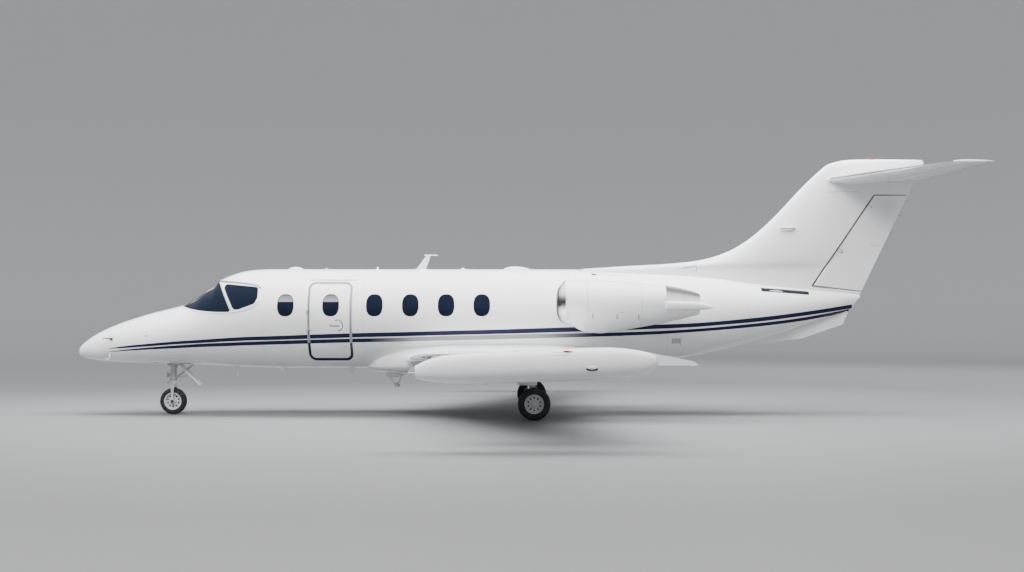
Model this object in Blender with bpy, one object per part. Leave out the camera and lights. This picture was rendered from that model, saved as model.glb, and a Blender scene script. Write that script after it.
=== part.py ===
"""Twin-engine business jet with a T-tail, wing-tip tanks and one entry door.

Metres, +Z up. +X points to the tail, -Y is the side with the entry door, and the
origin is on the floor below the middle of the aircraft, which stands on its wheels.
"""

import math

import bmesh
import bpy
from mathutils import Matrix, Vector

GAP = 0.0003            # between pieces that touch
RUN = 0.008             # between pieces that move and their neighbours
PIN_GAP = 0.0004        # round a pin in its bore
SIDES = {"left": -1, "right": 1}

# Fuselage
RING_POINTS = 24
WALL = 0.08
TAIL_WALL = 0.05
TAIL_HOLLOW_X = 4.60
NOSE_BREAK_X = -5.86
TAIL_BREAK_X = 1.10
CABIN_FRONT_X = -5.42
CABIN_BACK_X = 1.00
SLANT_START_X = 4.77
SLANT_END = 0.77

FUSELAGE = (
    # x, top, bottom, half width, height of the widest point
    (-7.310, 1.100, 1.030, 0.035, 1.065),
    (-7.270, 1.155, 0.985, 0.085, 1.070),
    (-7.200, 1.222, 0.955, 0.140, 1.078),
    (-7.080, 1.309, 0.928, 0.205, 1.090),
    (-6.880, 1.423, 0.900, 0.290, 1.110),
    (-6.650, 1.522, 0.886, 0.370, 1.140),
    (-6.370, 1.620, 0.875, 0.445, 1.180),
    (-6.090, 1.705, 0.867, 0.510, 1.220),
    (-5.800, 1.777, 0.858, 0.568, 1.270),
    (-5.550, 1.842, 0.850, 0.612, 1.320),
    (-5.340, 1.920, 0.845, 0.646, 1.364),
    (-5.150, 2.068, 0.838, 0.677, 1.404),
    (-4.950, 2.198, 0.829, 0.705, 1.446),
    (-4.915, 2.258, 0.827, 0.710, 1.453),
    (-4.820, 2.310, 0.822, 0.724, 1.472),
    (-4.680, 2.366, 0.815, 0.742, 1.500),
    (-4.480, 2.423, 0.806, 0.766, 1.540),
    (-4.250, 2.451, 0.797, 0.792, 1.580),
    (-4.000, 2.460, 0.790, 0.820, 1.612),
    (-3.600, 2.460, 0.785, 0.840, 1.620),
    (1.100, 2.457, 0.785, 0.840, 1.620),
    (1.550, 2.414, 0.795, 0.833, 1.620),
    (2.200, 2.390, 0.850, 0.795, 1.630),
    (2.900, 2.363, 0.955, 0.715, 1.655),
    (3.500, 2.310, 1.080, 0.618, 1.685),
    (4.230, 2.210, 1.260, 0.470, 1.735),
    (4.770, 2.150, 1.420, 0.345, 1.780),
    (5.200, 2.100, 1.555, 0.240, 1.820),
    (5.600, 2.055, 1.670, 0.140, 1.855),
    (5.860, 2.012, 1.750, 0.045, 1.880),
)

# Windows of the cabin, the cockpit and the windshield
WINDOW_SIZE = (0.268, 0.361)
WINDOW_Z = 1.843
WINDOW_SHAPE = 2.5
DOOR_WINDOW_X = -2.932
FORWARD_WINDOW_X = -3.675
AFT_WINDOWS_X = (-2.214, -1.623, -1.036, -0.450)
PANE_INSET = 0.006
PANE_THICKNESS = 0.020
WINDSHIELD = (
    (-5.552, 1.850), (-5.160, 1.776), (-4.660, 1.742),
    (-4.800, 2.226), (-4.860, 2.420), (-5.600, 2.060),
)
WINDSHIELD_CORNER = 0.03
CENTRE_POST = 0.08
COCKPIT_WINDOW = ((-4.740, 2.200), (-4.500, 1.773), (-4.185, 1.882), (-4.144, 1.992), (-4.159, 2.142))
COCKPIT_CORNER = 0.045

# Entry door
DOOR_X = (-3.296, -2.600)
DOOR_Z = (0.946, 2.215)
DOOR_CORNER = 0.10
DOOR_TAPER = 0.80
DOOR_GAP = 0.006
HINGE_X = -3.299
HINGE_Y = -0.855
HINGE_HEIGHTS = (1.44, 1.76)
KNUCKLE = (0.006, 0.045)

# Cabin
FLOOR_Z = 1.04
SEAT_WIDTH = 0.43
SEAT_Y = 0.405
CABIN_SEATS = (
    # x of the seat's middle, +1 faces the nose and -1 the tail
    (-2.08, -1),
    (-0.86, 1),
    (0.22, 1),
)
PILOT_SEAT_X = -4.35

# Belly fairing
FAIRING = (
    # x, top, bottom, half width
    (-2.40, 0.90, 0.770, 0.28),
    (-2.22, 1.00, 0.735, 0.52),
    (-1.95, 1.10, 0.705, 0.70),
    (-1.55, 1.20, 0.685, 0.83),
    (-0.80, 1.25, 0.675, 0.90),
    (0.60, 1.25, 0.675, 0.90),
    (1.30, 1.22, 0.695, 0.84),
    (1.80, 1.14, 0.745, 0.68),
    (2.20, 1.02, 0.835, 0.42),
)
FAIRING_SHAPE = 3.0

# Wing: x and z of the leading edge, chord, thickness ratio and incidence at both ends
WING_ROOT = {"y": 0.0, "x": -2.045, "z": 0.915, "chord": 3.00, "ratio": 0.130, "incidence": 3.0}
WING_TIP = {"y": 6.0, "x": 0.539, "z": 1.150, "chord": 1.00, "ratio": 0.113, "incidence": -1.5}
WING_START_Y = 0.40
WING_HINGE = 0.78
FLAP_Y = (1.06, 3.60)
AILERON_Y = (3.66, 5.62)
END_GAP = 0.020
HINGE_PIN = {"radius": 0.006, "bore": 0.0068, "points": 8, "root": 0.040, "reach": 0.020}
AIRFOIL_STEPS = (0.0, 0.02, 0.08, 0.20, 0.40, 0.60, 0.78, 1.0)

# Tip tank
TANK_Y = 6.10
TANK = (
    # x, height of the axis, radius
    (-1.247, 0.986, 0.020),
    (-1.215, 0.986, 0.052),
    (-1.172, 0.987, 0.080),
    (-1.121, 0.988, 0.104),
    (-1.033, 0.991, 0.131),
    (-0.900, 0.997, 0.160),
    (-0.700, 1.006, 0.185),
    (-0.356, 1.021, 0.197),
    (0.222, 1.041, 0.200),
    (0.900, 1.067, 0.205),
    (1.150, 1.074, 0.204),
    (1.420, 1.084, 0.186),
    (1.627, 1.085, 0.158),
    (1.784, 1.087, 0.122),
    (1.857, 1.092, 0.080),
)
TANK_FIN = (
    (1.20, 1.180), (1.20, 1.262), (1.524, 1.259), (1.732, 1.223),
    (2.330, 1.104), (2.400, 1.051), (1.80, 1.051),
)
TANK_FIN_WIDTH = 0.05

# Vertical fin
FIN = (
    # height, leading edge x, greatest thickness
    (2.000, 1.60, 0.300),
    (2.452, 1.20, 0.280),
    (2.502, 1.82, 0.275),
    (2.553, 2.72, 0.270),
    (2.610, 3.225, 0.265),
    (2.690, 3.538, 0.260),
    (2.785, 3.772, 0.255),
    (2.990, 4.100, 0.240),
    (3.924, 5.050, 0.190),
    (4.000, 5.128, 0.185),
)
FIN_TRAIL = ((5.979, 2.081), (6.919, 4.032))
RUDDER_HINGE = ((5.192, 2.188), (6.223, 3.700))
RUDDER_HEEL_Z = 2.095
RUDDER_SLOT = 0.015
CAP = (
    # height, leading edge x, trailing edge x, greatest thickness
    (4.0003, 5.128, 7.020, 0.185),
    (4.121, 5.263, 7.035, 0.180),
    (4.236, 5.406, 7.035, 0.150),
    (4.289, 5.584, 7.035, 0.110),
    (4.318, 5.765, 7.000, 0.050),
    (4.325, 6.050, 6.500, 0.016),
)
FIN_ABOVE = (5.50, 3.965)

# Tailplane
TAILPLANE_ROOT = {"y": 0.0, "x": 5.330, "z": 3.972, "chord": 1.56, "ratio": 0.100, "incidence": 0.0}
TAILPLANE_TIP = {"y": 2.5, "x": 6.790, "z": 4.024, "chord": 0.52, "ratio": 0.090, "incidence": 0.0}
ELEVATOR_HINGE = 0.68
ELEVATOR_Y = (0.17, 2.42)

VENTRAL = ((3.86, 1.158), (4.964, 1.285), (5.666, 1.527), (5.752, 1.742), (5.50, 1.80), (3.90, 1.50))
VENTRAL_THICKNESS = 0.05

# Engines
ENGINE_Y = 1.37
ENGINE_Z = 1.875
NACELLE = (
    # x, top, bottom, half width
    (0.775, 2.195, 1.580, 0.305),
    (0.785, 2.218, 1.560, 0.325),
    (0.830, 2.230, 1.545, 0.342),
    (0.910, 2.236, 1.545, 0.350),
    (1.167, 2.243, 1.428, 0.385),
    (1.461, 2.238, 1.389, 0.395),
    (1.644, 2.228, 1.409, 0.390),
    (2.012, 2.195, 1.471, 0.355),
    (2.490, 2.164, 1.556, 0.304),
)
DUCT = (
    # x, radius
    (2.490, 0.285),
    (2.250, 0.275),
    (0.900, 0.275),
    (0.800, 0.288),
)
ENGINE_X = (1.12, 2.25)
SHAFT_RADIUS = 0.04
NOZZLE_X = (2.4905, 3.04)
NOZZLE_OUTER = (0.295, 0.204)
NOZZLE_INNER = (0.270, 0.188)
NOZZLE_Z = 1.860
FAIRING_SPIKE = (
    # x, distance from the engine's axis, half width, half height
    (2.36, 0.338, 0.034, 0.070),
    (2.52, 0.346, 0.040, 0.076),
    (2.80, 0.322, 0.036, 0.060),
    (3.21, 0.262, 0.006, 0.008),
)
FAN_BLADES = 16
FAN_X = (0.985, 1.060)
FAN_RADIUS = 0.264
FAN_HUB = 0.085
SPINNER_X = 0.880
PYLON_X = (1.20, 2.34)
PYLON_THICKNESS = 0.16

# Landing gear
NOSE_GEAR_X = -5.705
NOSE_TYRE = {"radius": 0.225, "width": 0.150, "rim": 0.148}
MAIN_GEAR_X = 0.400
MAIN_WHEEL_Y = 1.42
MAIN_TYRE = {"radius": 0.265, "width": 0.175, "rim": 0.158}
MAIN_LEG_Y = 1.255
WHEEL_POINTS = 20
AXLE = 0.022

PAINT = ((0.86, 0.86, 0.87), 0.30, 0.0)
METAL = ((0.72, 0.72, 0.74), 0.22, 1.0)
DARK_METAL = ((0.30, 0.31, 0.33), 0.40, 1.0)
GLASS = ((0.05, 0.07, 0.10), 0.05, 0.0)
RUBBER = ((0.02, 0.02, 0.02), 0.80, 0.0)
LEATHER = ((0.45, 0.36, 0.26), 0.60, 0.0)
CARPET = ((0.30, 0.27, 0.24), 0.90, 0.0)
TRIM = ((0.10, 0.10, 0.11), 0.60, 0.0)


def clear_scene():
    for obj in list(bpy.data.objects):
        bpy.data.objects.remove(obj)


def new_collection(name):
    made = bpy.data.collections.new(name)
    bpy.context.scene.collection.children.link(made)
    return made


clear_scene()
PARTS = new_collection("business_jet")
CUTTERS = new_collection("cutters")


def finish_material(name, finish):
    colour, roughness, metallic = finish
    made = bpy.data.materials.new(name)
    made.use_nodes = True
    shader = made.node_tree.nodes["Principled BSDF"]
    shader.inputs["Base Color"].default_value = (*colour, 1.0)
    shader.inputs["Roughness"].default_value = roughness
    shader.inputs["Metallic"].default_value = metallic
    return made


def mesh_object(name, bm, finish=None):
    """A mesh becomes a piece when it has a finish, and a cutter when it has none."""
    bmesh.ops.recalc_face_normals(bm, faces=bm.faces)
    mesh = bpy.data.meshes.new(name)
    bm.to_mesh(mesh)
    bm.free()
    obj = bpy.data.objects.new(name, mesh)
    if finish is None:
        CUTTERS.objects.link(obj)
        obj.hide_render = True
        obj.display_type = "WIRE"
    else:
        PARTS.objects.link(obj)
        mesh.materials.append(finish_material(name, finish))
        mesh.shade_smooth()
        mesh.set_sharp_from_angle(angle=math.radians(35))
    return obj


def boolean(obj, operand, operation="DIFFERENCE"):
    step = obj.modifiers.new(operand.name, "BOOLEAN")
    step.operation = operation
    step.solver = "EXACT"
    step.object = operand
    return obj


def set_origin(obj, point):
    """Moves an object's origin to a point of its joint's axis, its shape staying put."""
    obj.data.transform(Matrix.Translation(-Vector(point)))
    obj.location = point
    return obj


def loft(name, rings, finish=None, around=False, split=False):
    """A skin through rings of equally many points, capped, or closed into a tube wall.

    Split skins have the same triangles in a piece and in the cutters that follow it.
    """
    bm = bmesh.new()
    rows = [[bm.verts.new(point) for point in ring] for ring in rings]
    pairs = list(zip(rows, rows[1:]))
    if around:
        pairs.append((rows[-1], rows[0]))
    count = len(rows[0])
    for first, second in pairs:
        for i in range(count):
            j = (i + 1) % count
            corners = (first[i], first[j], second[j], second[i])
            if split:
                bm.faces.new(corners[:3])
                bm.faces.new((corners[0], corners[2], corners[3]))
            else:
                bm.faces.new(corners)
    if not around:
        bm.faces.new(rows[0])
        bm.faces.new(rows[-1])
    return mesh_object(name, bm, finish)


def box(name, low, high, finish=None):
    bm = bmesh.new()
    bmesh.ops.create_cube(bm, size=1.0)
    size = Vector(high) - Vector(low)
    middle = (Vector(high) + Vector(low)) / 2
    bmesh.ops.scale(bm, vec=size, verts=bm.verts)
    bmesh.ops.translate(bm, vec=middle, verts=bm.verts)
    return mesh_object(name, bm, finish)


def cylinder(name, start, end, radius, finish=None, points=16, end_radius=None):
    bm = bmesh.new()
    start, end = Vector(start), Vector(end)
    axis = end - start
    far = radius if end_radius is None else end_radius
    bmesh.ops.create_cone(
        bm, cap_ends=True, segments=points, radius1=radius, radius2=far, depth=axis.length
    )
    turn = Vector((0, 0, 1)).rotation_difference(axis).to_matrix().to_4x4()
    bmesh.ops.transform(bm, matrix=Matrix.Translation((start + end) / 2) @ turn, verts=bm.verts)
    return mesh_object(name, bm, finish)


def prism_xz(name, outline, near_y, far_y, finish=None):
    rings = [[(x, y, z) for x, z in outline] for y in (near_y, far_y)]
    return loft(name, rings, finish)


def area_sign(outline):
    total = sum(a[0] * b[1] - b[0] * a[1] for a, b in zip(outline, outline[1:] + outline[:1]))
    return 1 if total > 0 else -1


def offset_outline(outline, amount):
    """The outline moved inwards by an amount, or outwards where it is negative."""
    outline = [Vector(point) for point in outline]
    sign = area_sign(outline)
    moved = []
    for i, corner in enumerate(outline):
        before = (corner - outline[i - 1]).normalized()
        after = (outline[(i + 1) % len(outline)] - corner).normalized()
        normal_before = Vector((-before.y, before.x)) * sign
        normal_after = Vector((-after.y, after.x)) * sign
        middle = (normal_before + normal_after).normalized()
        moved.append(corner + middle * (amount / max(0.3, middle.dot(normal_before))))
    return [tuple(point) for point in moved]


def rounded(outline, radius, steps=4):
    """The outline with each corner turned into an arc-like curve."""
    corners = [Vector(point) for point in outline]
    result = []
    for i, corner in enumerate(corners):
        back = corners[i - 1] - corner
        ahead = corners[(i + 1) % len(corners)] - corner
        half = back.angle(ahead) / 2
        reach = min(radius / math.tan(half), 0.45 * back.length, 0.45 * ahead.length)
        start = corner + back.normalized() * reach
        end = corner + ahead.normalized() * reach
        weight = math.sin(half)
        for k in range(steps + 1):
            t = k / steps
            parts = ((1 - t) ** 2, 2 * t * (1 - t) * weight, t * t)
            point = start * parts[0] + corner * parts[1] + end * parts[2]
            result.append(tuple(point / sum(parts)))
    return result


def superellipse(centre, half_width, half_height, power, points):
    outline = []
    for k in range(points):
        angle = math.tau * k / points
        c, s = math.cos(angle), math.sin(angle)
        x = half_width * math.copysign(abs(c) ** (2 / power), c)
        z = half_height * math.copysign(abs(s) ** (2 / power), s)
        outline.append((centre[0] + x, centre[1] + z))
    return outline


def row_at(table, x):
    for low, high in zip(table, table[1:]):
        if low[0] <= x <= high[0]:
            t = (x - low[0]) / (high[0] - low[0])
            return tuple(a + (b - a) * t for a, b in zip(low, high))
    raise ValueError("x is outside the table")


def rows_between(table, start, end):
    inner = [row for row in table if start + 0.002 < row[0] < end - 0.002]
    return [row_at(table, start)] + inner + [row_at(table, end)]


def fuselage_ring(row, inset=0.0, points=RING_POINTS):
    x, top, bottom, half_width, widest = row
    slant = SLANT_END * max(0.0, (x - SLANT_START_X) / (FUSELAGE[-1][0] - SLANT_START_X))
    ring = []
    for k in range(points):
        angle = math.tau * k / points
        rise = math.cos(angle)
        height = (top - widest if rise > 0 else widest - bottom) - inset
        z = widest + height * rise
        y = (half_width - inset) * math.sin(angle)
        ring.append((x + slant * (z - widest), y, z))
    return ring


def fuselage_loft(name, start, end, inset=0.0, finish=None):
    rows = rows_between(FUSELAGE, start, end)
    return loft(name, [fuselage_ring(row, inset) for row in rows], finish, split=True)


def cabin_half_width(z, inset=0.0):
    """Half the width of the straight part of the cabin at a height."""
    x, top, bottom, half_width, widest = row_at(FUSELAGE, DOOR_WINDOW_X)
    height = (top - widest if z > widest else widest - bottom) - inset
    return (half_width - inset) * math.sqrt(max(0.0, 1 - ((z - widest) / height) ** 2))


def window_outline(x, inset=0.0):
    width, height = WINDOW_SIZE
    return superellipse((x, WINDOW_Z), width / 2 - inset, height / 2 - inset, WINDOW_SHAPE, 12)


def door_cutter(name, grow):
    """A block with the door's outline, whose rear edge leans in towards the cabin."""
    front, back = DOOR_X
    low, high = DOOR_Z
    corners = [(front, low), (back, low), (back, high), (front, high)]
    outline = offset_outline(rounded(corners, DOOR_CORNER), -grow)
    width = back - front
    rings = [[], [], [], []]
    for x, z in outline:
        y_out = -cabin_half_width(z)
        y_in = -cabin_half_width(z, WALL)
        share = max(0.0, (x - front) / width)
        x_in = x - DOOR_TAPER * (y_in - y_out) * share
        rings[0].append((x, -1.0, z))
        rings[1].append((x, y_out - 0.002, z))
        rings[2].append((x_in, y_in + 0.006, z))
        rings[3].append((x_in, -0.20, z))
    return loft(name, rings)


def build_envelopes():
    """Cutters slightly larger than a piece, which leave a gap where another piece ends on it."""
    cut = {}
    cut["fuselage"] = fuselage_loft("envelope_fuselage", FUSELAGE[0][0], FUSELAGE[-1][0], -2.5 * GAP)
    cut["outer"] = fuselage_loft("outer_skin", -5.80, 1.05)
    cut["pane_outer"] = fuselage_loft("pane_outer", -5.80, 1.05, PANE_INSET)
    cut["pane_inner"] = fuselage_loft("pane_inner", -5.80, 1.05, PANE_INSET + PANE_THICKNESS)
    cut["cabin"] = fuselage_loft("cabin_space", CABIN_FRONT_X, CABIN_BACK_X, WALL)
    cut["lining"] = fuselage_loft("cabin_lining", CABIN_FRONT_X, CABIN_BACK_X, WALL + 3 * GAP)
    cut["ceiling"] = fuselage_loft("post_depth", -5.80, -4.30, 0.06)
    cut["fairing"] = loft("envelope_fairing", [fairing_ring(row, -GAP - 0.0002) for row in FAIRING])
    return cut


def windshield_outline(inset=0.0):
    return offset_outline(rounded(WINDSHIELD, WINDSHIELD_CORNER, 3), inset)


def cockpit_outline(inset=0.0):
    return offset_outline(rounded(COCKPIT_WINDOW, COCKPIT_CORNER, 3), inset)


def build_fuselage(cut):
    fuselage_loft("nose_section", FUSELAGE[0][0], NOSE_BREAK_X - GAP, 0.0, PAINT)
    tail = fuselage_loft("tail_cone", TAIL_BREAK_X + GAP, FUSELAGE[-1][0], 0.0, PAINT)
    boolean(tail, fuselage_loft("tail_space", TAIL_BREAK_X - 0.10, TAIL_HOLLOW_X, TAIL_WALL))
    shell = fuselage_loft("fuselage_shell", NOSE_BREAK_X, TAIL_BREAK_X, 0.0, PAINT)
    boolean(shell, cut["cabin"])
    hood = prism_xz("windshield_depth", windshield_outline(-0.004), -1.0, 1.0)
    boolean(hood, cut["ceiling"], "INTERSECT")
    boolean(shell, hood)
    for side, sign in SIDES.items():
        near = sign * CENTRE_POST / 2
        boolean(shell, prism_xz("windshield_cut_" + side, windshield_outline(), near, sign))
        boolean(shell, prism_xz("cockpit_cut_" + side, cockpit_outline(), sign * 0.3, sign))
    for x in (FORWARD_WINDOW_X, *AFT_WINDOWS_X):
        boolean(shell, prism_xz("window_cut", window_outline(x), -1.0, -0.5))
    for x in (FORWARD_WINDOW_X, DOOR_WINDOW_X, *AFT_WINDOWS_X):
        boolean(shell, prism_xz("window_cut", window_outline(x), 1.0, 0.5))
    boolean(shell, door_cutter("doorway", 0.0))
    for z in HINGE_HEIGHTS:
        add_knuckle(shell, "shell", z - KNUCKLE[1], z - GAP / 2, -1)


def add_knuckle(obj, label, low, high, towards):
    """One half of a door hinge: a small barrel on the axis and the leaf that carries it."""
    radius = KNUCKLE[0]
    foot = (HINGE_X, HINGE_Y, low)
    barrel = cylinder(label + "_barrel", foot, (HINGE_X, HINGE_Y, high), radius, points=8)
    ends = sorted((HINGE_X, HINGE_X + towards * 0.03))
    leaf = box(label + "_leaf", (ends[0], HINGE_Y - 0.003, low), (ends[1], HINGE_Y + 0.04, high))
    clear = sorted((HINGE_X + towards * 0.004, HINGE_X - towards * 0.02))
    relief_low = (clear[0], HINGE_Y + 0.007, low - 0.01)
    relief = box(label + "_relief", relief_low, (clear[1], HINGE_Y + 0.06, high + 0.01))
    boolean(leaf, relief)
    boolean(leaf, barrel, "UNION")
    boolean(obj, leaf, "UNION")


def build_door(cut):
    door = door_cutter("entry_door", -DOOR_GAP)
    CUTTERS.objects.unlink(door)
    PARTS.objects.link(door)
    door.hide_render = False
    door.display_type = "TEXTURED"
    door.data.materials.append(finish_material("entry_door", PAINT))
    boolean(door, cut["outer"], "INTERSECT")
    boolean(door, cut["cabin"])
    boolean(door, prism_xz("door_window_cut", window_outline(DOOR_WINDOW_X), -1.0, -0.5))
    for z in HINGE_HEIGHTS:
        add_knuckle(door, "door", z + GAP / 2, z + KNUCKLE[1], 1)
    set_origin(door, (HINGE_X, HINGE_Y, HINGE_HEIGHTS[0]))
    pane = prism_xz("door_window", window_outline(DOOR_WINDOW_X, PIN_GAP), -1.0, -0.5, GLASS)
    boolean(pane, cut["pane_outer"], "INTERSECT")
    boolean(pane, cut["pane_inner"])
    set_origin(pane, (HINGE_X, HINGE_Y, HINGE_HEIGHTS[0]))


def lining_band(name, sign, start, end, finish=None):
    """A thin curved strip against the cabin wall, from just below to just above the windows."""
    rings = []
    for x in (start, end):
        ring = []
        heights = [WINDOW_Z - 0.21 + 0.42 * k / 5 for k in range(6)]
        for z in heights:
            ring.append((x, sign * (cabin_half_width(z, WALL) + 0.010), z))
        for z in reversed(heights):
            ring.append((x, sign * (cabin_half_width(z, WALL) - 0.030), z))
        rings.append(ring)
    return loft(name, rings, finish)


def build_panes(cut):
    for side, sign in SIDES.items():
        near = sign * (CENTRE_POST / 2 + PIN_GAP)
        pane = prism_xz("windshield_" + side, windshield_outline(PIN_GAP), near, sign, GLASS)
        boolean(pane, cut["pane_outer"], "INTERSECT")
        boolean(pane, cut["pane_inner"])
        pane = prism_xz("cockpit_window_" + side, cockpit_outline(PIN_GAP), sign * 0.3, sign, GLASS)
        boolean(pane, cut["pane_outer"], "INTERSECT")
        boolean(pane, cut["pane_inner"])
    pane = prism_xz("forward_window_left", window_outline(FORWARD_WINDOW_X, PIN_GAP), -1.0, -0.5, GLASS)
    boolean(pane, cut["pane_outer"], "INTERSECT")
    boolean(pane, cut["pane_inner"])
    rows = {"left": AFT_WINDOWS_X, "right": (FORWARD_WINDOW_X, DOOR_WINDOW_X, *AFT_WINDOWS_X)}
    for side, sign in SIDES.items():
        xs = rows[side]
        panes = lining_band("cabin_windows_" + side, sign, xs[0] - 0.19, xs[-1] + 0.19, GLASS)
        boolean(panes, cut["lining"], "INTERSECT")
        for x in xs:
            plug = prism_xz("pane_plug", window_outline(x, PIN_GAP), sign * 0.67, sign)
            boolean(panes, plug, "UNION")
        boolean(panes, cut["pane_outer"], "INTERSECT")


def extruded_seat(name, x, sign, facing):
    """A seat's side outline, drawn for one that faces the nose, pushed out to its width."""
    outline = (
        (-0.24, 0.26), (0.06, 0.22), (0.20, 0.22), (0.33, 0.90), (0.24, 0.92), (0.12, 0.44), (-0.24, 0.42)
    )
    points = [(x + facing * a, FLOOR_Z + b) for a, b in outline]
    middle = sign * SEAT_Y
    return prism_xz(name, points, middle - SEAT_WIDTH / 2, middle + SEAT_WIDTH / 2)


def build_seats(name, rows, plate):
    """Seats joined by the plate of rails that they stand on."""
    low, high = plate
    base = box(name, (low, -0.40, FLOOR_Z + GAP), (high, 0.40, FLOOR_Z + 0.025), LEATHER)
    for x, facing in rows:
        for side, sign in SIDES.items():
            foot = sorted((sign * 0.22, sign * 0.40))
            leg = box("seat_leg", (x - 0.15, foot[0], FLOOR_Z + 0.01), (x + 0.15, foot[1], FLOOR_Z + 0.30))
            boolean(base, leg, "UNION")
            boolean(base, extruded_seat("seat_form", x, sign, facing), "UNION")


def build_cabin(cut):
    floor_end = (CABIN_BACK_X - 0.02, 0.75, FLOOR_Z)
    floor = box("cabin_floor", (CABIN_FRONT_X + 0.02, -0.75, 0.80), floor_end, CARPET)
    boolean(floor, cut["lining"], "INTERSECT")
    notch = box("door_well", (DOOR_X[0] - 0.06, -0.80, 0.70), (DOOR_X[1] + 0.06, -0.30, 1.20))
    boolean(floor, notch)
    build_seats("cabin_seats", CABIN_SEATS, (-2.30, 0.45))
    plate = (PILOT_SEAT_X - 0.20, PILOT_SEAT_X + 0.20)
    build_seats("pilot_seats", ((PILOT_SEAT_X, 1),), plate)
    panel = box("instrument_panel", (-5.12, -0.50, 1.36), (-4.98, 0.50, 1.70), TRIM)
    boolean(panel, box("pedestal", (-5.10, -0.11, FLOOR_Z + GAP), (-4.72, 0.11, 1.40)), "UNION")
    boolean(panel, box("glareshield", (-5.18, -0.44, 1.66), (-4.93, 0.44, 1.70)), "UNION")


def fairing_ring(row, inset=0.0):
    x, top, bottom, half_width = row
    middle = (top + bottom) / 2
    half_height = (top - bottom) / 2
    outline = superellipse((0.0, middle), half_width - inset, half_height - inset, FAIRING_SHAPE, 24)
    return [(x, y, z) for y, z in outline]


def build_belly(cut):
    belly = loft("belly_fairing", [fairing_ring(row) for row in FAIRING], PAINT)
    boolean(belly, cut["fuselage"])


def half_thickness(fraction):
    """Half the thickness of a streamlined section, for a thickness and a chord of 1."""
    f = fraction
    terms = (0.2969 * math.sqrt(f), -0.1260 * f, -0.3516 * f ** 2, 0.2843 * f ** 3, -0.1036 * f ** 4)
    return 5 * sum(terms)


def end_point(end, fraction, face):
    """A point of a wing's end section, on its upper (1), middle (0) or lower (-1) line."""
    x = fraction * end["chord"]
    z = face * half_thickness(fraction) * end["ratio"] * end["chord"]
    angle = math.radians(end["incidence"])
    return Vector((
        end["x"] + x * math.cos(angle) + z * math.sin(angle),
        end["y"],
        end["z"] - x * math.sin(angle) + z * math.cos(angle),
    ))


def wing_point(ends, y, fraction, face):
    root, tip = ends
    t = (y - root["y"]) / (tip["y"] - root["y"])
    return end_point(root, fraction, face).lerp(end_point(tip, fraction, face), t)


def wing_ring(ends, y, sign, grow=0.0):
    upper = [wing_point(ends, y, f, 1) + Vector((0, 0, grow)) for f in AIRFOIL_STEPS]
    lower = [wing_point(ends, y, f, -1) - Vector((0, 0, grow)) for f in AIRFOIL_STEPS[1:-1]]
    trail = wing_point(ends, y, 1.0, 0)
    upper[-1] = trail + Vector((0, 0, 0.003 + grow))
    upper[0].x -= 2 * grow
    ring = upper + [trail - Vector((0, 0, 0.003 + grow))] + lower[::-1]
    if grow:
        upper[0].z -= grow
    return [(p.x, sign * y, p.z) for p in ring]


def surface_ring(ends, y, sign, hinge):
    """A section of a control surface: a round nose about the hinge and a straight taper."""
    top = wing_point(ends, y, hinge, 1)
    bottom = wing_point(ends, y, hinge, -1)
    centre = (top + bottom) / 2
    radius = (top - bottom).length / 2
    trail = wing_point(ends, y, 1.0, 0)
    ring = []
    for k in range(7):
        angle = math.pi / 2 + math.pi * k / 6
        ring.append((centre.x + radius * math.cos(angle), sign * y, centre.z + radius * math.sin(angle)))
    ring.append((trail.x, sign * y, trail.z - 0.003))
    ring.append((trail.x, sign * y, trail.z + 0.003))
    return ring


def slot_cutter(name, ends, span, sign, hinge):
    """The room that a control surface takes out of its wing, with a gap in front and at its ends."""
    rings = []
    for y in (span[0] - END_GAP, span[1] + END_GAP):
        top = wing_point(ends, y, hinge, 1)
        bottom = wing_point(ends, y, hinge, -1)
        front = (top.x + bottom.x) / 2 - (top - bottom).length / 2 - RUN
        high, low = top.z + 0.3, bottom.z - 0.3
        corners = ((front, high), (front, low), (front + 2.0, low), (front + 2.0, high))
        rings.append([(x, sign * y, z) for x, z in corners])
    return loft(name, rings)


def hinge_pin(name, ends, y_start, y_end, sign, hinge, size="radius"):
    """A pin along the hinge line, or the bore that it turns in."""
    points = []
    for y in (y_start, y_end):
        point = wing_point(ends, y, hinge, 0)
        points.append((point.x, sign * point.y, point.z))
    return cylinder(name, points[0], points[1], HINGE_PIN[size], None, HINGE_PIN["points"])


def control_surface(name, ends, span, sign, hinge, finish=PAINT):
    """A flap, aileron or elevator, bored at both ends for the pins that carry it."""
    piece = loft(name, [surface_ring(ends, y, sign, hinge) for y in span], finish)
    for end, outwards in zip(span, (-1, 1)):
        start, stop = end + outwards * 0.010, end - outwards * (HINGE_PIN["reach"] + 0.005)
        boolean(piece, hinge_pin(name + "_bore", ends, start, stop, sign, hinge, "bore"))
    origin = wing_point(ends, span[0], hinge, 0)
    return set_origin(piece, (origin.x, sign * origin.y, origin.z))


def add_pins(obj, ends, span, sign, hinge):
    """Pins that stand out of a slot's two end walls into a control surface's bores."""
    for end, outwards in zip(span, (-1, 1)):
        start, stop = end + outwards * HINGE_PIN["root"], end - outwards * HINGE_PIN["reach"]
        boolean(obj, hinge_pin(obj.name + "_pin", ends, start, stop, sign, hinge), "UNION")


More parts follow.
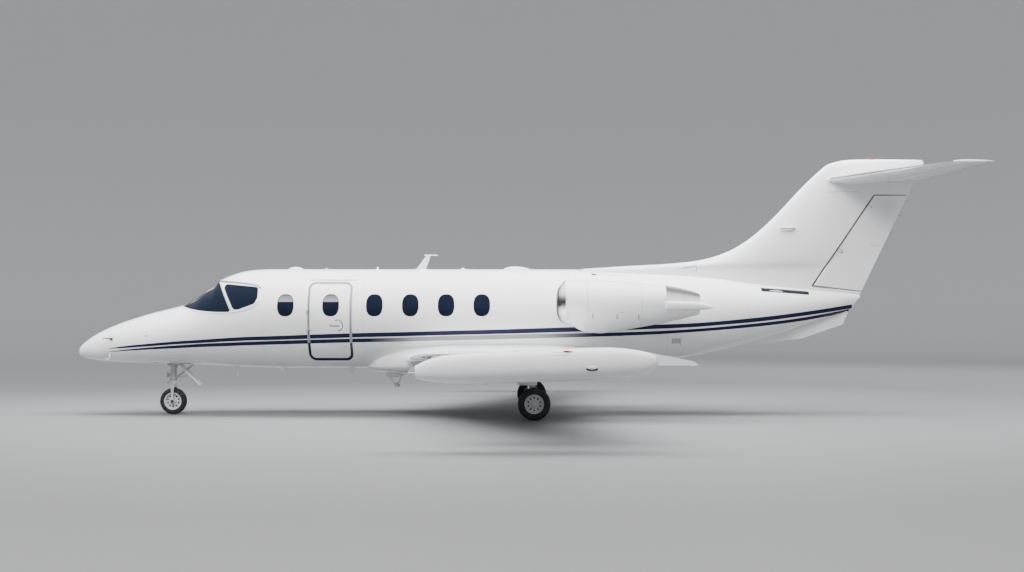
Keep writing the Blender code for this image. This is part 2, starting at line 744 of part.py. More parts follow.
def build_wings(cut):
    ends = (WING_ROOT, WING_TIP)
    for side, sign in SIDES.items():
        span = (WING_START_Y, WING_TIP["y"] + 0.05)
        wing = loft("wing_" + side, [wing_ring(ends, y, sign) for y in span], PAINT)
        boolean(wing, cut["fairing"])
        boolean(wing, cut["fuselage"])
        boolean(wing, tank_form("envelope_tank_" + side, sign, GAP + 0.0002))
        for label, moving in (("flap_", FLAP_Y), ("aileron_", AILERON_Y)):
            boolean(wing, slot_cutter("slot_" + label + side, ends, moving, sign, WING_HINGE))
            add_pins(wing, ends, moving, sign, WING_HINGE)
            control_surface(label + side, ends, moving, sign, WING_HINGE)


def tank_form(name, sign, grow=0.0, finish=None):
    rings = []
    for x, axis_z, radius in TANK:
        outline = superellipse((sign * TANK_Y, axis_z), radius + grow, radius + grow, 2.0, 16)
        rings.append([(x, y, z) for y, z in outline])
    return loft(name, rings, finish)


def build_tanks():
    for side, sign in SIDES.items():
        tank = tank_form("tip_tank_" + side, sign, 0.0, PAINT)
        near = sign * (TANK_Y - TANK_FIN_WIDTH / 2)
        far = sign * (TANK_Y + TANK_FIN_WIDTH / 2)
        boolean(tank, prism_xz("tank_fin_" + side, TANK_FIN, near, far), "UNION")


def fin_trail_x(z):
    (x0, z0), (x1, z1) = FIN_TRAIL
    return x0 + (x1 - x0) * (z - z0) / (z1 - z0)


def fin_half_thickness(x, z):
    height, lead, thickness = row_at(FIN, z)
    trail = fin_trail_x(z)
    return thickness * half_thickness((x - lead) / (trail - lead))


def fin_ring(z, lead, trail, thickness):
    chord = trail - lead
    left = [(lead + f * chord, -thickness * half_thickness(f), z) for f in AIRFOIL_STEPS[:-1]]
    right = [(x, -y, z) for x, y, z in left[:0:-1]]
    return left + [(lead + chord, -0.003, z), (lead + chord, 0.003, z)] + right


def build_fin(cut):
    fin = loft("vertical_fin", [fin_ring(z, lead, fin_trail_x(z), wide) for z, lead, wide in FIN], PAINT)
    boolean(fin, cut["fuselage"])
    (x0, z0), (x1, z1) = RUDDER_HINGE
    radius = [fin_half_thickness(x, z) for x, z in RUDDER_HINGE]
    heel_z = RUDDER_HEEL_Z
    lean = RUDDER_SLOT * (x1 - x0) / (z1 - z0)
    slot = (
        (x0 - radius[0] - RUN - lean, z0 - RUDDER_SLOT),
        (x1 - radius[1] - RUN + lean, z1 + RUDDER_SLOT),
        (7.4, z1 + RUDDER_SLOT),
        (7.4, heel_z - RUDDER_SLOT - 0.08),
        (fin_trail_x(heel_z), heel_z - RUDDER_SLOT),
    )
    boolean(fin, prism_xz("rudder_slot", slot, -0.4, 0.4))
    boolean(fin, tailplane_form("envelope_tailplane", GAP + 0.0002))
    boolean(fin, box("above_tailplane", (FIN_ABOVE[0], -0.5, FIN_ABOVE[1]), (7.5, 0.5, 4.5)))
    rings = []
    for (x, z), r, trail_z in zip(RUDDER_HINGE, radius, (heel_z, z1)):
        ring = []
        for k in range(7):
            angle = math.pi / 2 + math.pi * k / 6
            ring.append((x + r * math.cos(angle), r * math.sin(angle), z))
        trail = fin_trail_x(trail_z)
        ring.append((trail, -0.004, trail_z))
        ring.append((trail, 0.004, trail_z))
        rings.append(ring)
    rudder = loft("rudder", rings, PAINT)
    low, high = Vector((x0, 0, z0)), Vector((x1, 0, z1))
    along = (high - low).normalized()
    for label, end, inwards in (("low", low, along), ("high", high, -along)):
        start = end - inwards * HINGE_PIN["root"]
        stop = end + inwards * HINGE_PIN["reach"]
        points = HINGE_PIN["points"]
        pin = cylinder("rudder_pin_" + label, start, stop, HINGE_PIN["radius"], None, points)
        boolean(fin, pin, "UNION")
        deep = stop + inwards * 0.005
        boolean(rudder, cylinder("rudder_bore_" + label, start, deep, HINGE_PIN["bore"], None, points))
    set_origin(rudder, (x0, 0.0, z0))


def tailplane_form(name, grow=0.0, finish=None):
    ends = (TAILPLANE_ROOT, TAILPLANE_TIP)
    tip = TAILPLANE_TIP["y"]
    rings = [wing_ring(ends, tip, -1, grow), wing_ring(ends, 0.0, 1, grow), wing_ring(ends, tip, 1, grow)]
    return loft(name, rings, finish)


def build_tail(cut):
    ends = (TAILPLANE_ROOT, TAILPLANE_TIP)
    plane = tailplane_form("tailplane", 0.0, PAINT)
    for side, sign in SIDES.items():
        boolean(plane, slot_cutter("slot_elevator_" + side, ends, ELEVATOR_Y, sign, ELEVATOR_HINGE))
        add_pins(plane, ends, ELEVATOR_Y, sign, ELEVATOR_HINGE)
        control_surface("elevator_" + side, ends, ELEVATOR_Y, sign, ELEVATOR_HINGE)
    cap = loft("fin_cap", [fin_ring(*row) for row in CAP], PAINT)
    boolean(cap, tailplane_form("envelope_cap", GAP + 0.0002))
    half = VENTRAL_THICKNESS / 2
    ventral = prism_xz("ventral_fin", VENTRAL, -half, half, PAINT)
    boolean(ventral, cut["fuselage"])


def engine_ring(x, y, z, half_width, half_height, points=16):
    outline = superellipse((y, z), half_width, half_height, 2.0, points)
    return [(x, a, b) for a, b in outline]


def nacelle_outer_rings(y, grow=0.0):
    rings = []
    for x, top, bottom, half_width in NACELLE:
        rings.append(engine_ring(x, y, (top + bottom) / 2, half_width + grow, (top - bottom) / 2 + grow))
    return rings


def build_fan(name, y):
    """Blades are the teeth of a wheel whose outline turns as it goes back, with a pointed spinner."""
    rings = []
    tooth = math.tau / FAN_BLADES
    for x, turn in ((FAN_X[0], 0.0), ((FAN_X[0] + FAN_X[1]) / 2, 0.09), (FAN_X[1], 0.18)):
        ring = []
        for k in range(FAN_BLADES):
            start = k * tooth + turn
            for share, radius in ((0.0, FAN_HUB), (0.02, FAN_RADIUS), (0.30, FAN_RADIUS), (0.34, FAN_HUB)):
                angle = start + share * tooth
                ring.append((x, y + radius * math.cos(angle), ENGINE_Z + radius * math.sin(angle)))
        rings.append(ring)
    fan = loft(name, rings, METAL)
    start = (FAN_X[0] + 0.01, y, ENGINE_Z)
    spinner = cylinder("spinner", start, (SPINNER_X, y, ENGINE_Z), FAN_HUB - 0.004, None, 20, 0.006)
    boolean(fan, spinner, "UNION")
    set_origin(fan, (FAN_X[1], y, ENGINE_Z))


def build_engines(cut):
    for side, sign in SIDES.items():
        y = sign * ENGINE_Y
        inner = [engine_ring(x, y, ENGINE_Z, radius, radius) for x, radius in DUCT]
        nacelle = loft("nacelle_" + side, nacelle_outer_rings(y) + inner, PAINT, around=True)
        for away in (-1, 1):
            rings = []
            for x, distance, half_width, half_height in FAIRING_SPIKE:
                middle = (y + away * distance, NOZZLE_Z - 0.01)
                rings.append(engine_ring(x, *middle, half_width, half_height, 12))
            boolean(nacelle, loft("spike", rings), "UNION")
        block_radius = DUCT[1][1] - PIN_GAP
        rings = [engine_ring(x, y, ENGINE_Z, block_radius, block_radius) for x in ENGINE_X]
        block = loft("engine_" + side, rings, DARK_METAL)
        shaft_end = (FAN_X[1] + GAP, y, ENGINE_Z)
        shaft_start = (ENGINE_X[0] + 0.05, y, ENGINE_Z)
        boolean(block, cylinder("shaft", shaft_start, shaft_end, SHAFT_RADIUS), "UNION")
        rings = []
        for x, radius in zip(NOZZLE_X, NOZZLE_OUTER):
            rings.append(engine_ring(x, y, NOZZLE_Z, radius, radius))
        for x, radius in zip(NOZZLE_X[::-1], NOZZLE_INNER[::-1]):
            rings.append(engine_ring(x, y, NOZZLE_Z, radius, radius))
        loft("exhaust_" + side, rings, METAL, around=True)
        build_fan("fan_" + side, y)
        chord = PYLON_X[1] - PYLON_X[0]
        rings = []
        for reach in (0.60, ENGINE_Y - 0.12):
            upper = []
            for f in AIRFOIL_STEPS[:-1]:
                height = ENGINE_Z + PYLON_THICKNESS * half_thickness(f)
                upper.append((PYLON_X[0] + f * chord, sign * reach, height))
            lower = [(x, a, 2 * ENGINE_Z - z) for x, a, z in upper[:0:-1]]
            back = [(PYLON_X[1], sign * reach, ENGINE_Z + rise) for rise in (0.004, -0.004)]
            rings.append(upper + back + lower)
        pylon = loft("pylon_" + side, rings, PAINT)
        boolean(pylon, cut["fuselage"])
        boolean(pylon, loft("envelope_nacelle_" + side, nacelle_outer_rings(y, GAP + 0.0002)))


def turned(name, profile, centre, finish):
    """A ring turned about an axis along Y, from a closed outline of radius and y."""
    rings = []
    for k in range(WHEEL_POINTS):
        angle = math.tau * (k + 0.5) / WHEEL_POINTS
        c, s = math.cos(angle), math.sin(angle)
        rings.append([(centre[0] + r * c, centre[1] + y, centre[2] + r * s) for r, y in profile])
    piece = loft(name, rings, finish, around=True)
    return set_origin(piece, centre)


def build_wheel(label, centre, tyre, outward=0):
    """A wheel with its bore and its tyre, both round the same axle."""
    radius, width, rim = tyre["radius"], tyre["width"], tyre["rim"]
    half = width / 2
    bore = AXLE + PIN_GAP
    profile = (
        (bore, -half * 0.8), (bore, half * 0.8), (0.060, half * 0.8), (0.065, half * 0.30),
        (rim - 0.035, half * 0.30), (rim - 0.010, half * 0.86), (rim - 0.010, -half * 0.86),
        (rim - 0.035, -half * 0.30), (0.065, -half * 0.30), (0.060, -half * 0.8),
    )
    turned(label[0], profile, centre, METAL)
    seat = rim - 0.010 + PIN_GAP
    outline = (
        (seat, -half * 0.86), (rim + 0.025, -half), (radius - 0.025, -half * 0.94), (radius, -half * 0.50),
        (radius, half * 0.50), (radius - 0.025, half * 0.94), (rim + 0.025, half), (seat, half * 0.86),
    )
    turned(label[1], outline, centre, RUBBER)


def axle_height(tyre):
    """The tyre's outline has a flat at the bottom, which stands on the floor."""
    return tyre["radius"] * math.cos(math.pi / WHEEL_POINTS)


def build_nose_gear(cut):
    x = NOSE_GEAR_X
    z = axle_height(NOSE_TYRE)
    build_wheel(("nose_wheel", "nose_tyre"), (x, 0.0, z), NOSE_TYRE)
    leg = cylinder("nose_leg", (x, 0, 0.520), (x, 0, 0.90), 0.055, METAL)
    boolean(leg, cylinder("nose_sleeve", (x, 0, 0.60), (x, 0, 0.88), 0.075), "UNION")
    boolean(leg, cut["fuselage"])
    fork = cylinder("nose_fork", (x, 0, 0.475), (x, 0, 0.520 - GAP), 0.055, METAL)
    boolean(fork, box("fork_bridge", (x - 0.045, -0.108, 0.470), (x + 0.045, 0.108, 0.498)), "UNION")
    for side, sign in SIDES.items():
        ends = sorted((sign * 0.088, sign * 0.108))
        blade = box("fork_blade", (x - 0.028, ends[0], z - 0.035), (x + 0.028, ends[1], 0.480))
        boolean(fork, blade, "UNION")
    boolean(fork, cylinder("nose_axle", (x, -0.112, z), (x, 0.112, z), AXLE), "UNION")
    set_origin(fork, (x, 0.0, 0.50))
    flap = box("nose_gear_door", (0.0, -0.15, -0.0125), (0.56, 0.15, 0.0125), PAINT)
    lean = Matrix.Rotation(math.radians(43), 4, "Y")
    flap.data.transform(Matrix.Translation((-5.625, 0.0, 0.880)) @ lean)
    boolean(flap, cut["fuselage"])


def build_main_gear(ends):
    for side, sign in SIDES.items():
        x = MAIN_GEAR_X
        z = axle_height(MAIN_TYRE)
        y = sign * MAIN_WHEEL_Y
        build_wheel(("main_wheel_" + side, "main_tyre_" + side), (x, y, z), MAIN_TYRE)
        leg_y = sign * MAIN_LEG_Y
        leg = cylinder("main_leg_" + side, (x - 0.04, leg_y, 0.30), (x - 0.04, leg_y, 0.92), 0.050, METAL)
        knee = box("main_knee", (x - 0.09, leg_y - 0.04, z - 0.05), (x + 0.035, leg_y + 0.04, 0.36))
        boolean(leg, knee, "UNION")
        boolean(leg, cylinder("main_axle", (x, leg_y, z), (x, y + sign * 0.075, z), AXLE), "UNION")
        brace_top = (x - 0.04, sign * 0.96, 0.90)
        brace = cylinder("main_brace", (x - 0.04, leg_y, 0.50), brace_top, 0.025, None, 12)
        boolean(leg, brace, "UNION")
        stub_end = (x - 0.04, sign * 1.355, 0.68)
        stub = cylinder("door_stub", (x - 0.04, leg_y, 0.68), stub_end, 0.015, None, 8)
        boolean(leg, stub, "UNION")
        rings = [wing_ring(ends, a, sign, GAP + 0.0003) for a in (0.40, 6.0)]
        envelope = loft("envelope_wing_" + side, rings)
        boolean(leg, envelope)
        door_near = sign * (1.355 + GAP)
        door_far = sign * 1.370
        low, high = sorted((door_near, door_far))
        door = box("main_gear_door_" + side, (x - 0.27, low, 0.555), (x + 0.05, high, 0.90), PAINT)
        boolean(door, envelope)


def build_antenna(cut):
    outline = (
        (-1.613, 2.40), (-1.430, 2.40), (-1.40, 2.690),
        (-1.219, 2.690), (-1.219, 2.705), (-1.443, 2.705),
    )
    blade = prism_xz("blade_antenna", outline, -0.011, 0.011, PAINT)
    boolean(blade, cut["fuselage"])


def main():
    cut = build_envelopes()
    build_fuselage(cut)
    build_door(cut)
    build_panes(cut)
    build_cabin(cut)
    build_belly(cut)
    build_wings(cut)
    build_tanks()
    build_fin(cut)
    build_tail(cut)
    build_engines(cut)
    build_nose_gear(cut)
    build_main_gear((WING_ROOT, WING_TIP))
    build_antenna(cut)


main()
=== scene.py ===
"""Looks of a twin-engine business jet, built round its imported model.

Metres, +Z up. +X points to the tail, and -Y is the side with the entry door.
"""

import math

import bmesh
import bpy
from mathutils import Matrix, Vector


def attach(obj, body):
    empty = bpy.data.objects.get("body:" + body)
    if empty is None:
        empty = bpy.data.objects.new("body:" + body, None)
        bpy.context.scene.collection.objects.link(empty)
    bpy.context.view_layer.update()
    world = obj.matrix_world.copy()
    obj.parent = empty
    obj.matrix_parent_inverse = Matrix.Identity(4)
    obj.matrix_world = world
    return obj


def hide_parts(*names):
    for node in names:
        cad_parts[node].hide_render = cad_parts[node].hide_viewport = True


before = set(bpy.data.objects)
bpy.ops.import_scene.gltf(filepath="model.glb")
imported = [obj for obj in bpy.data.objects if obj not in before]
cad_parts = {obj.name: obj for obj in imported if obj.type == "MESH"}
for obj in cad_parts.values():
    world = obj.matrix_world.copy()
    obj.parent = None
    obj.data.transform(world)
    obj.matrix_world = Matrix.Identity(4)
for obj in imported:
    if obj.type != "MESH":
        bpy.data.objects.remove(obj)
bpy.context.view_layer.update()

SIDES = {"left": -1, "right": 1}

# Fuselage, as in the solids: x, top, bottom, half width, height of the widest point
FUSELAGE = (
    (-7.31, 1.1, 1.03, 0.035, 1.065), (-7.27, 1.155, 0.985, 0.085, 1.07), (-7.2, 1.222, 0.955, 0.14, 1.078),
    (-7.08, 1.309, 0.928, 0.205, 1.09), (-6.88, 1.423, 0.9, 0.29, 1.11), (-6.65, 1.522, 0.886, 0.37, 1.14),
    (-6.37, 1.62, 0.875, 0.445, 1.18), (-6.09, 1.705, 0.867, 0.51, 1.22), (-5.8, 1.777, 0.858, 0.568, 1.27),
    (-5.55, 1.842, 0.85, 0.612, 1.32), (-5.34, 1.92, 0.845, 0.646, 1.364),
    (-5.15, 2.068, 0.838, 0.677, 1.404), (-4.95, 2.198, 0.829, 0.705, 1.446),
    (-4.915, 2.258, 0.827, 0.71, 1.453), (-4.82, 2.31, 0.822, 0.724, 1.472),
    (-4.68, 2.366, 0.815, 0.742, 1.5), (-4.48, 2.423, 0.806, 0.766, 1.54), (-4.25, 2.451, 0.797, 0.792, 1.58),
    (-4.0, 2.46, 0.79, 0.82, 1.612), (-3.6, 2.46, 0.785, 0.84, 1.62), (1.1, 2.457, 0.785, 0.84, 1.62),
    (1.55, 2.414, 0.795, 0.833, 1.62), (2.2, 2.39, 0.85, 0.795, 1.63), (2.9, 2.363, 0.955, 0.715, 1.655),
    (3.5, 2.31, 1.08, 0.618, 1.685), (4.23, 2.21, 1.26, 0.47, 1.735), (4.77, 2.15, 1.42, 0.345, 1.78),
    (5.2, 2.1, 1.555, 0.24, 1.82), (5.6, 2.055, 1.67, 0.14, 1.855), (5.86, 2.012, 1.75, 0.045, 1.88),
)
SLANT_START_X = 4.77
SLANT_END = 0.77
NOSE_BREAK_X = -5.86
TAIL_BREAK_X = 1.1
CABIN = (-5.42, 1.0)
WALL = 0.08
AROUND = 96

# Windows and door: outlines in X and Z, and sizes
WINDOW_SIZE = (0.268, 0.361)
WINDOW_Z = 1.843
WINDOW_SHAPE = 2.5
BLIND_Z = 1.905
DOOR_WINDOW_X = -2.932
FORWARD_WINDOW_X = -3.675
AFT_WINDOWS_X = (-2.214, -1.623, -1.036, -0.45)
WINDSHIELD = (
    (-5.545, 1.836), (-5.33, 1.778), (-5.1, 1.744), (-4.87, 1.729), (-4.64, 1.728), (-4.604, 1.752),
    (-4.722, 1.99), (-4.812, 2.15), (-4.925, 2.33), (-5.6, 2.33), (-5.64, 1.88),
)
WINDSHIELD_CORNER = 0.02
CENTRE_POST = 0.08
COCKPIT_WINDOW = (
    (-4.782, 2.202), (-4.56, 1.792), (-4.518, 1.766), (-4.452, 1.773), (-4.196, 1.868), (-4.146, 1.968),
    (-4.15, 2.142),
)
COCKPIT_CORNER = 0.05
GLASS_INSET = 0.004
GLASS_THICKNESS = 0.01
DOOR_X = (-3.296, -2.6)
DOOR_Z = (0.946, 2.215)
DOOR_CORNER = 0.1
DOOR_TAPER = 0.8
DOOR_GAP = 0.006
HINGE_X = -3.299
HINGE_Y = -0.855
HINGE_HEIGHTS = (1.44, 1.76)
FLOOR_Z = 1.04

# Painted lines along each side: x, height of the middle, thickness
UPPER_STRIPE = (
    (-6.7, 1.121, 0.006), (-6.422, 1.148, 0.033), (-5.979, 1.185, 0.044), (-5.458, 1.226, 0.05),
    (-5.116, 1.246, 0.054), (-4.775, 1.268, 0.059), (-4.269, 1.294, 0.062), (-3.769, 1.308, 0.066),
    (-3.356, 1.324, 0.068), (-2.945, 1.337, 0.07), (-2.452, 1.352, 0.07), (-1.795, 1.367, 0.07),
    (-0.809, 1.393, 0.073), (-0.151, 1.409, 0.075), (0.835, 1.439, 0.079), (1.657, 1.463, 0.075),
    (2.319, 1.486, 0.07), (2.988, 1.512, 0.066), (3.411, 1.542, 0.064), (4.182, 1.61, 0.07),
    (4.705, 1.671, 0.067), (5.234, 1.742, 0.066), (5.682, 1.81, 0.066), (5.812, 1.83, 0.065),
)
LOWER_STRIPE = (
    (-6.7, 1.068, 0.005), (-6.422, 1.093, 0.021), (-5.979, 1.127, 0.036), (-5.458, 1.159, 0.049),
    (-5.116, 1.179, 0.054), (-4.775, 1.193, 0.059), (-4.269, 1.213, 0.06), (-3.769, 1.23, 0.062),
    (-3.356, 1.242, 0.063), (-2.945, 1.254, 0.063), (-2.452, 1.266, 0.063), (-1.795, 1.278, 0.065),
    (-1.302, 1.294, 0.068), (-0.809, 1.306, 0.072), (0.506, 1.337, 0.07), (1.493, 1.36, 0.062),
    (2.319, 1.387, 0.055), (2.988, 1.423, 0.051), (3.411, 1.453, 0.052), (4.182, 1.522, 0.057),
    (4.705, 1.581, 0.054), (5.234, 1.659, 0.054), (5.682, 1.742, 0.051), (5.764, 1.758, 0.05),
)
# Where the lower stripe fades to grey and back: a painted reflection of the white wing in the glossy navy
PAINTED_WING_REFLECTION_X = ((-2.3, -1.6), (0.45, 1.4))
STRIPE_LIFT = 0.0012
SEAM_WIDTH = 0.004
WHITE = (0.83, 0.832, 0.842)
NAVY = (0.007, 0.009, 0.034)
# Near-black glass tint: partly real tint, partly painted shade of the dim cabin behind the windows.
TINT_WITH_PAINTED_SHADE = (0.004, 0.007, 0.018)
PAINTED_WING_REFLECTION_GREY = (0.25, 0.26, 0.27)
BLINDS_END_X = -2.5

# Belly fairing: x, top, bottom, half width
FAIRING = (
    (-2.4, 0.9, 0.77, 0.28), (-2.22, 1.0, 0.735, 0.52), (-1.95, 1.1, 0.705, 0.7), (-1.55, 1.2, 0.685, 0.83),
    (-0.8, 1.25, 0.675, 0.9), (0.6, 1.25, 0.675, 0.9), (1.3, 1.22, 0.695, 0.84), (1.8, 1.14, 0.745, 0.68),
    (2.2, 1.02, 0.835, 0.42),
)
FAIRING_SHAPE = 3.0

# Wing and tailplane, as in the solids
WING_ROOT = {"y": 0.0, "x": -2.045, "z": 0.915, "chord": 3.0, "ratio": 0.13, "incidence": 3.0}
WING_TIP = {"y": 6.0, "x": 0.539, "z": 1.15, "chord": 1.0, "ratio": 0.113, "incidence": -1.5}
WING = (WING_ROOT, WING_TIP)
WING_HINGE = 0.78
FLAP_Y = (1.06, 3.6)
AILERON_Y = (3.66, 5.62)
END_GAP = 0.02
RUN = 0.008
TAILPLANE_ROOT = {"y": 0.0, "x": 5.33, "z": 3.972, "chord": 1.56, "ratio": 0.1, "incidence": 0.0}
TAILPLANE_TIP = {"y": 2.5, "x": 6.79, "z": 4.024, "chord": 0.52, "ratio": 0.09, "incidence": 0.0}
TAIL = (TAILPLANE_ROOT, TAILPLANE_TIP)
ELEVATOR_HINGE = 0.68
ELEVATOR_Y = (0.17, 2.42)
TRAIL = 0.003

# Tip tank: x, height of the axis, radius
TANK_Y = 6.1
TANK = (
    (-1.262, 0.962, 0.006), (-1.24, 0.964, 0.036), (-1.208, 0.966, 0.06), (-1.172, 0.968, 0.08),
    (-1.121, 0.974, 0.101), (-1.033, 0.987, 0.129), (-0.9, 0.997, 0.16), (-0.7, 1.006, 0.185),
    (-0.356, 1.021, 0.197), (0.222, 1.041, 0.2), (0.9, 1.067, 0.205), (1.15, 1.074, 0.204),
    (1.42, 1.084, 0.186), (1.627, 1.085, 0.158), (1.784, 1.087, 0.122), (1.857, 1.092, 0.08),
)
TANK_LENS_X = -1.172
TANK_LENS_Z = 0.962
NAV_COLOUR = {"left": "red", "right": "green"}

# Fin behind the tip tank: its outline in X and Z
TANK_FIN = (
    (1.2, 1.18), (1.2, 1.262), (1.524, 1.259), (1.732, 1.223), (2.33, 1.104), (2.4, 1.051), (1.8, 1.051),
)

# Fin: height, leading edge x, greatest thickness
FIN = (
    (2.0, 1.6, 0.3), (2.452, 1.2, 0.28), (2.502, 1.82, 0.275), (2.553, 2.72, 0.27), (2.61, 3.225, 0.265),
    (2.69, 3.538, 0.26), (2.785, 3.772, 0.255), (2.99, 4.1, 0.24), (3.924, 5.05, 0.19), (4.0, 5.128, 0.185),
)
FIN_TRAIL = ((5.979, 2.081), (6.919, 4.032))
RUDDER_HINGE = ((5.192, 2.188), (6.223, 3.7))
RUDDER_HEEL_Z = 2.095
RUDDER_SLOT = 0.015

# Fin cap: height, leading edge x, trailing edge x, greatest thickness
CAP = (
    (4.0003, 5.128, 7.02, 0.185), (4.121, 5.263, 7.035, 0.18), (4.236, 5.406, 7.035, 0.15),
    (4.289, 5.584, 7.035, 0.11), (4.318, 5.765, 7.0, 0.05), (4.325, 6.05, 6.5, 0.016),
)

# Fin below the tail: its outline in X and Z
VENTRAL = ((3.86, 1.158), (4.964, 1.285), (5.666, 1.527), (5.752, 1.742), (5.5, 1.8), (3.9, 1.5))
VENTRAL_THICKNESS = 0.05
BEACON_X = 6.14

# Engines
ENGINE_Y = 1.37
ENGINE_Z = 1.875
# Cowl: x, top, bottom, half width
NACELLE = (
    (0.775, 2.195, 1.58, 0.305), (0.785, 2.218, 1.56, 0.325), (0.83, 2.23, 1.545, 0.342),
    (0.91, 2.236, 1.545, 0.35), (1.167, 2.243, 1.428, 0.385), (1.461, 2.238, 1.389, 0.395),
    (1.644, 2.228, 1.409, 0.39), (2.012, 2.195, 1.471, 0.355), (2.49, 2.164, 1.556, 0.304),
)
LIP_START_X = 0.765
LIP_END_X = 0.895
LIP_BOW = 0.095
LIP_HALF = 0.33
COWL_GAP = 0.002
COWL_SEAMS_X = (1.234, 2.098)
DUCT_RADIUS = 0.275
NOZZLE_X = (2.4905, 3.04)
NOZZLE_OUTER = (0.295, 0.168)
NOZZLE_INNER = (0.27, 0.156)
NOZZLE_Z = 1.86
NOZZLE_SEAM_X = 2.775
# Fairings beside the nozzle: x, distance from the engine's middle, half width, half height, height
SPIKE = (
    (2.46, 0.284, 0.01, 0.05, 1.836), (2.492, 0.3, 0.034, 0.069, 1.835), (2.776, 0.27, 0.04, 0.067, 1.831),
    (3.02, 0.222, 0.036, 0.06, 1.823), (3.12, 0.205, 0.026, 0.046, 1.814), (3.2, 0.194, 0.014, 0.025, 1.806),
    (3.245, 0.19, 0.003, 0.004, 1.804),
)
FAN_X = (0.985, 1.06)
FAN_RADIUS = 0.266
FAN_HUB = 0.085
FAN_BLADES = 24
PYLON_X = (1.2, 2.34)
PYLON_THICKNESS = 0.16

# Landing gear
NOSE_GEAR_X = -5.705
NOSE_TYRE = {"radius": 0.225, "width": 0.15, "rim": 0.148}
MAIN_GEAR_X = 0.4
MAIN_WHEEL_Y = 1.42
MAIN_TYRE = {"radius": 0.265, "width": 0.175, "rim": 0.158}
MAIN_LEG_Y = 1.255
CAD_WHEEL_POINTS = 20
AXLE = 0.022
WHEEL_HOLES = 10


# Materials

def tint(colour, share):
    return tuple(c * share for c in colour)


class Nodes:
    """A shader in the making. Each call adds nodes and gives an output socket."""

    def __init__(self, tree, shader):
        self.tree = tree
        self.shader = tree.nodes[shader]

    def fill(self, socket, value):
        if isinstance(value, bpy.types.NodeSocket):
            self.tree.links.new(value, socket)
        else:
            socket.default_value = (*value, 1.0) if socket.type == "RGBA" else value

    def put(self, **values):
        """Sets or links sockets of the shader, named with _ for a space."""
        for name, value in values.items():
            self.fill(self.shader.inputs[name.replace("_", " ")], value)

    def add(self, kind, values=(), output=0, **settings):
        node = self.tree.nodes.new("ShaderNode" + kind)
        for key, value in settings.items():
            setattr(node, key, value)
        for socket, value in dict(values).items():
            self.fill(node.inputs[socket], value)
        return node.outputs[output]

    def place(self):
        """Where a point of the surface is at rest, in the object's own coordinates."""
        return self.add("TexCoord", output="Object")

    def axis(self, name, source=None):
        return self.add("SeparateXYZ", {0: self.place() if source is None else source}, name)

    def facing(self):
        """How far up the surface faces: 1 at the top, -1 below."""
        return self.axis("Z", self.add("NewGeometry", output="Normal"))

    def noise(self, scale, detail=3.0, roughness=0.55, stretch=None):
        where = self.place()
        if stretch:
            where = self.add("Mapping", {"Vector": where, "Scale": stretch})
        values = {"Vector": where, "Scale": scale, "Detail": detail, "Roughness": roughness}
        return self.add("TexNoise", values, "Fac")

    def remap(self, value, *ends):
        return self.add("MapRange", {"Value": value, **dict(enumerate(ends, 1))})

    def cloud(self, scale, detail, *ends):
        return self.remap(self.noise(scale, detail), *ends)

    def math(self, operation, *values):
        return self.add("Math", dict(enumerate(values)), operation=operation)

    def mix(self, factor, first, second):
        return self.add("Mix", {"Factor": factor, 6: first, 7: second}, 2, data_type="RGBA")

    def bump(self, height, strength, distance):
        self.put(Normal=self.add("Bump", {"Height": height, "Strength": strength, "Distance": distance}))


class Look(Nodes):
    """A material in the making, from a colour, a roughness and other values of its shader."""

    def __init__(self, name, colour, roughness, metallic=0.0, **values):
        self.made = bpy.data.materials.new(name)
        self.made.use_nodes = True
        super().__init__(self.made.node_tree, "Principled BSDF")
        self.put(Base_Color=colour, Roughness=roughness, Metallic=metallic, **values)


def gloss_paint(name, colour, low_darkening=0.0, seams=()):
    """Gloss paint with faint unevenness, a little streaky darkening low down and fine panel joints."""
    look = Look(name, colour, 0.2, Coat_Weight=0.6, Coat_Roughness=0.04)
    base = look.mix(look.cloud(1.3, 4.0, 0.35, 0.75, 0.0, 0.6), colour, tint(colour, 0.93))
    # Darker towards the bottom, in streaks.
    low = look.remap(look.axis("Z"), 0.72, 1.05, low_darkening, 0.0)
    low_tone = tuple(c * k for c, k in zip(colour, (0.8, 0.79, 0.77)))
    base = look.mix(look.math("MULTIPLY", low, look.noise(3.0, 6.0, 0.6, (0.35, 1.0, 2.2))), base, low_tone)
    if seams:
        along = look.axis("X")
        lines = 0.0
        for place in seams:
            lines = look.math("MAXIMUM", lines, look.math("COMPARE", along, place, SEAM_WIDTH / 2))
        base = look.mix(look.math("MULTIPLY", lines, 0.55), base, tint(colour, 0.45))
    look.put(Base_Color=base, Roughness=look.cloud(9.0, 5.0, 0.3, 0.7, 0.16, 0.27))
    look.bump(look.noise(240.0, 2.0), 0.025, 0.001)
    return look


def worn_metal(name, colour, roughness, scale=6.0, stretch=(1, 1, 1), spread=0.1, dark=0.75, metallic=1.0):
    """Bare metal with brushed lines and clouded patches."""
    look = Look(name, colour, roughness, metallic)
    cloud = look.remap(look.noise(scale, 5.0, 0.6), 0.35, 0.7, 0.0, 1.0)
    brushed = look.noise(scale * 12, 3.0, 0.6, stretch)
    rough = look.remap(brushed, 0.3, 0.7, max(0.03, roughness - spread), roughness + spread)
    look.put(Base_Color=look.mix(cloud, colour, tint(colour, dark)), Roughness=rough)
    look.bump(brushed, 0.06, 0.001)
    return look


def metal_with_painted_sky_reflection(name, colour, roughness, metallic):
    """Brushed metal with a painted reflection: darker where it faces the ceiling than where it faces level.
    """
    look = worn_metal(name, colour, roughness, 3.0, (1, 8, 8), 0.06, 0.86, metallic)
    height = look.facing()
    rising = look.remap(height, 0.3, 0.7, 0.0, 0.94)
    falling = look.remap(height, 0.86, 0.99, 1.0, 0.5)
    plain = look.shader.inputs["Base Color"].links[0].from_socket
    # Painted dark reflection on the faces that look upwards.
    look.put(Base_Color=look.mix(look.math("MULTIPLY", rising, falling), plain, tint(colour, 0.06)))
    return look


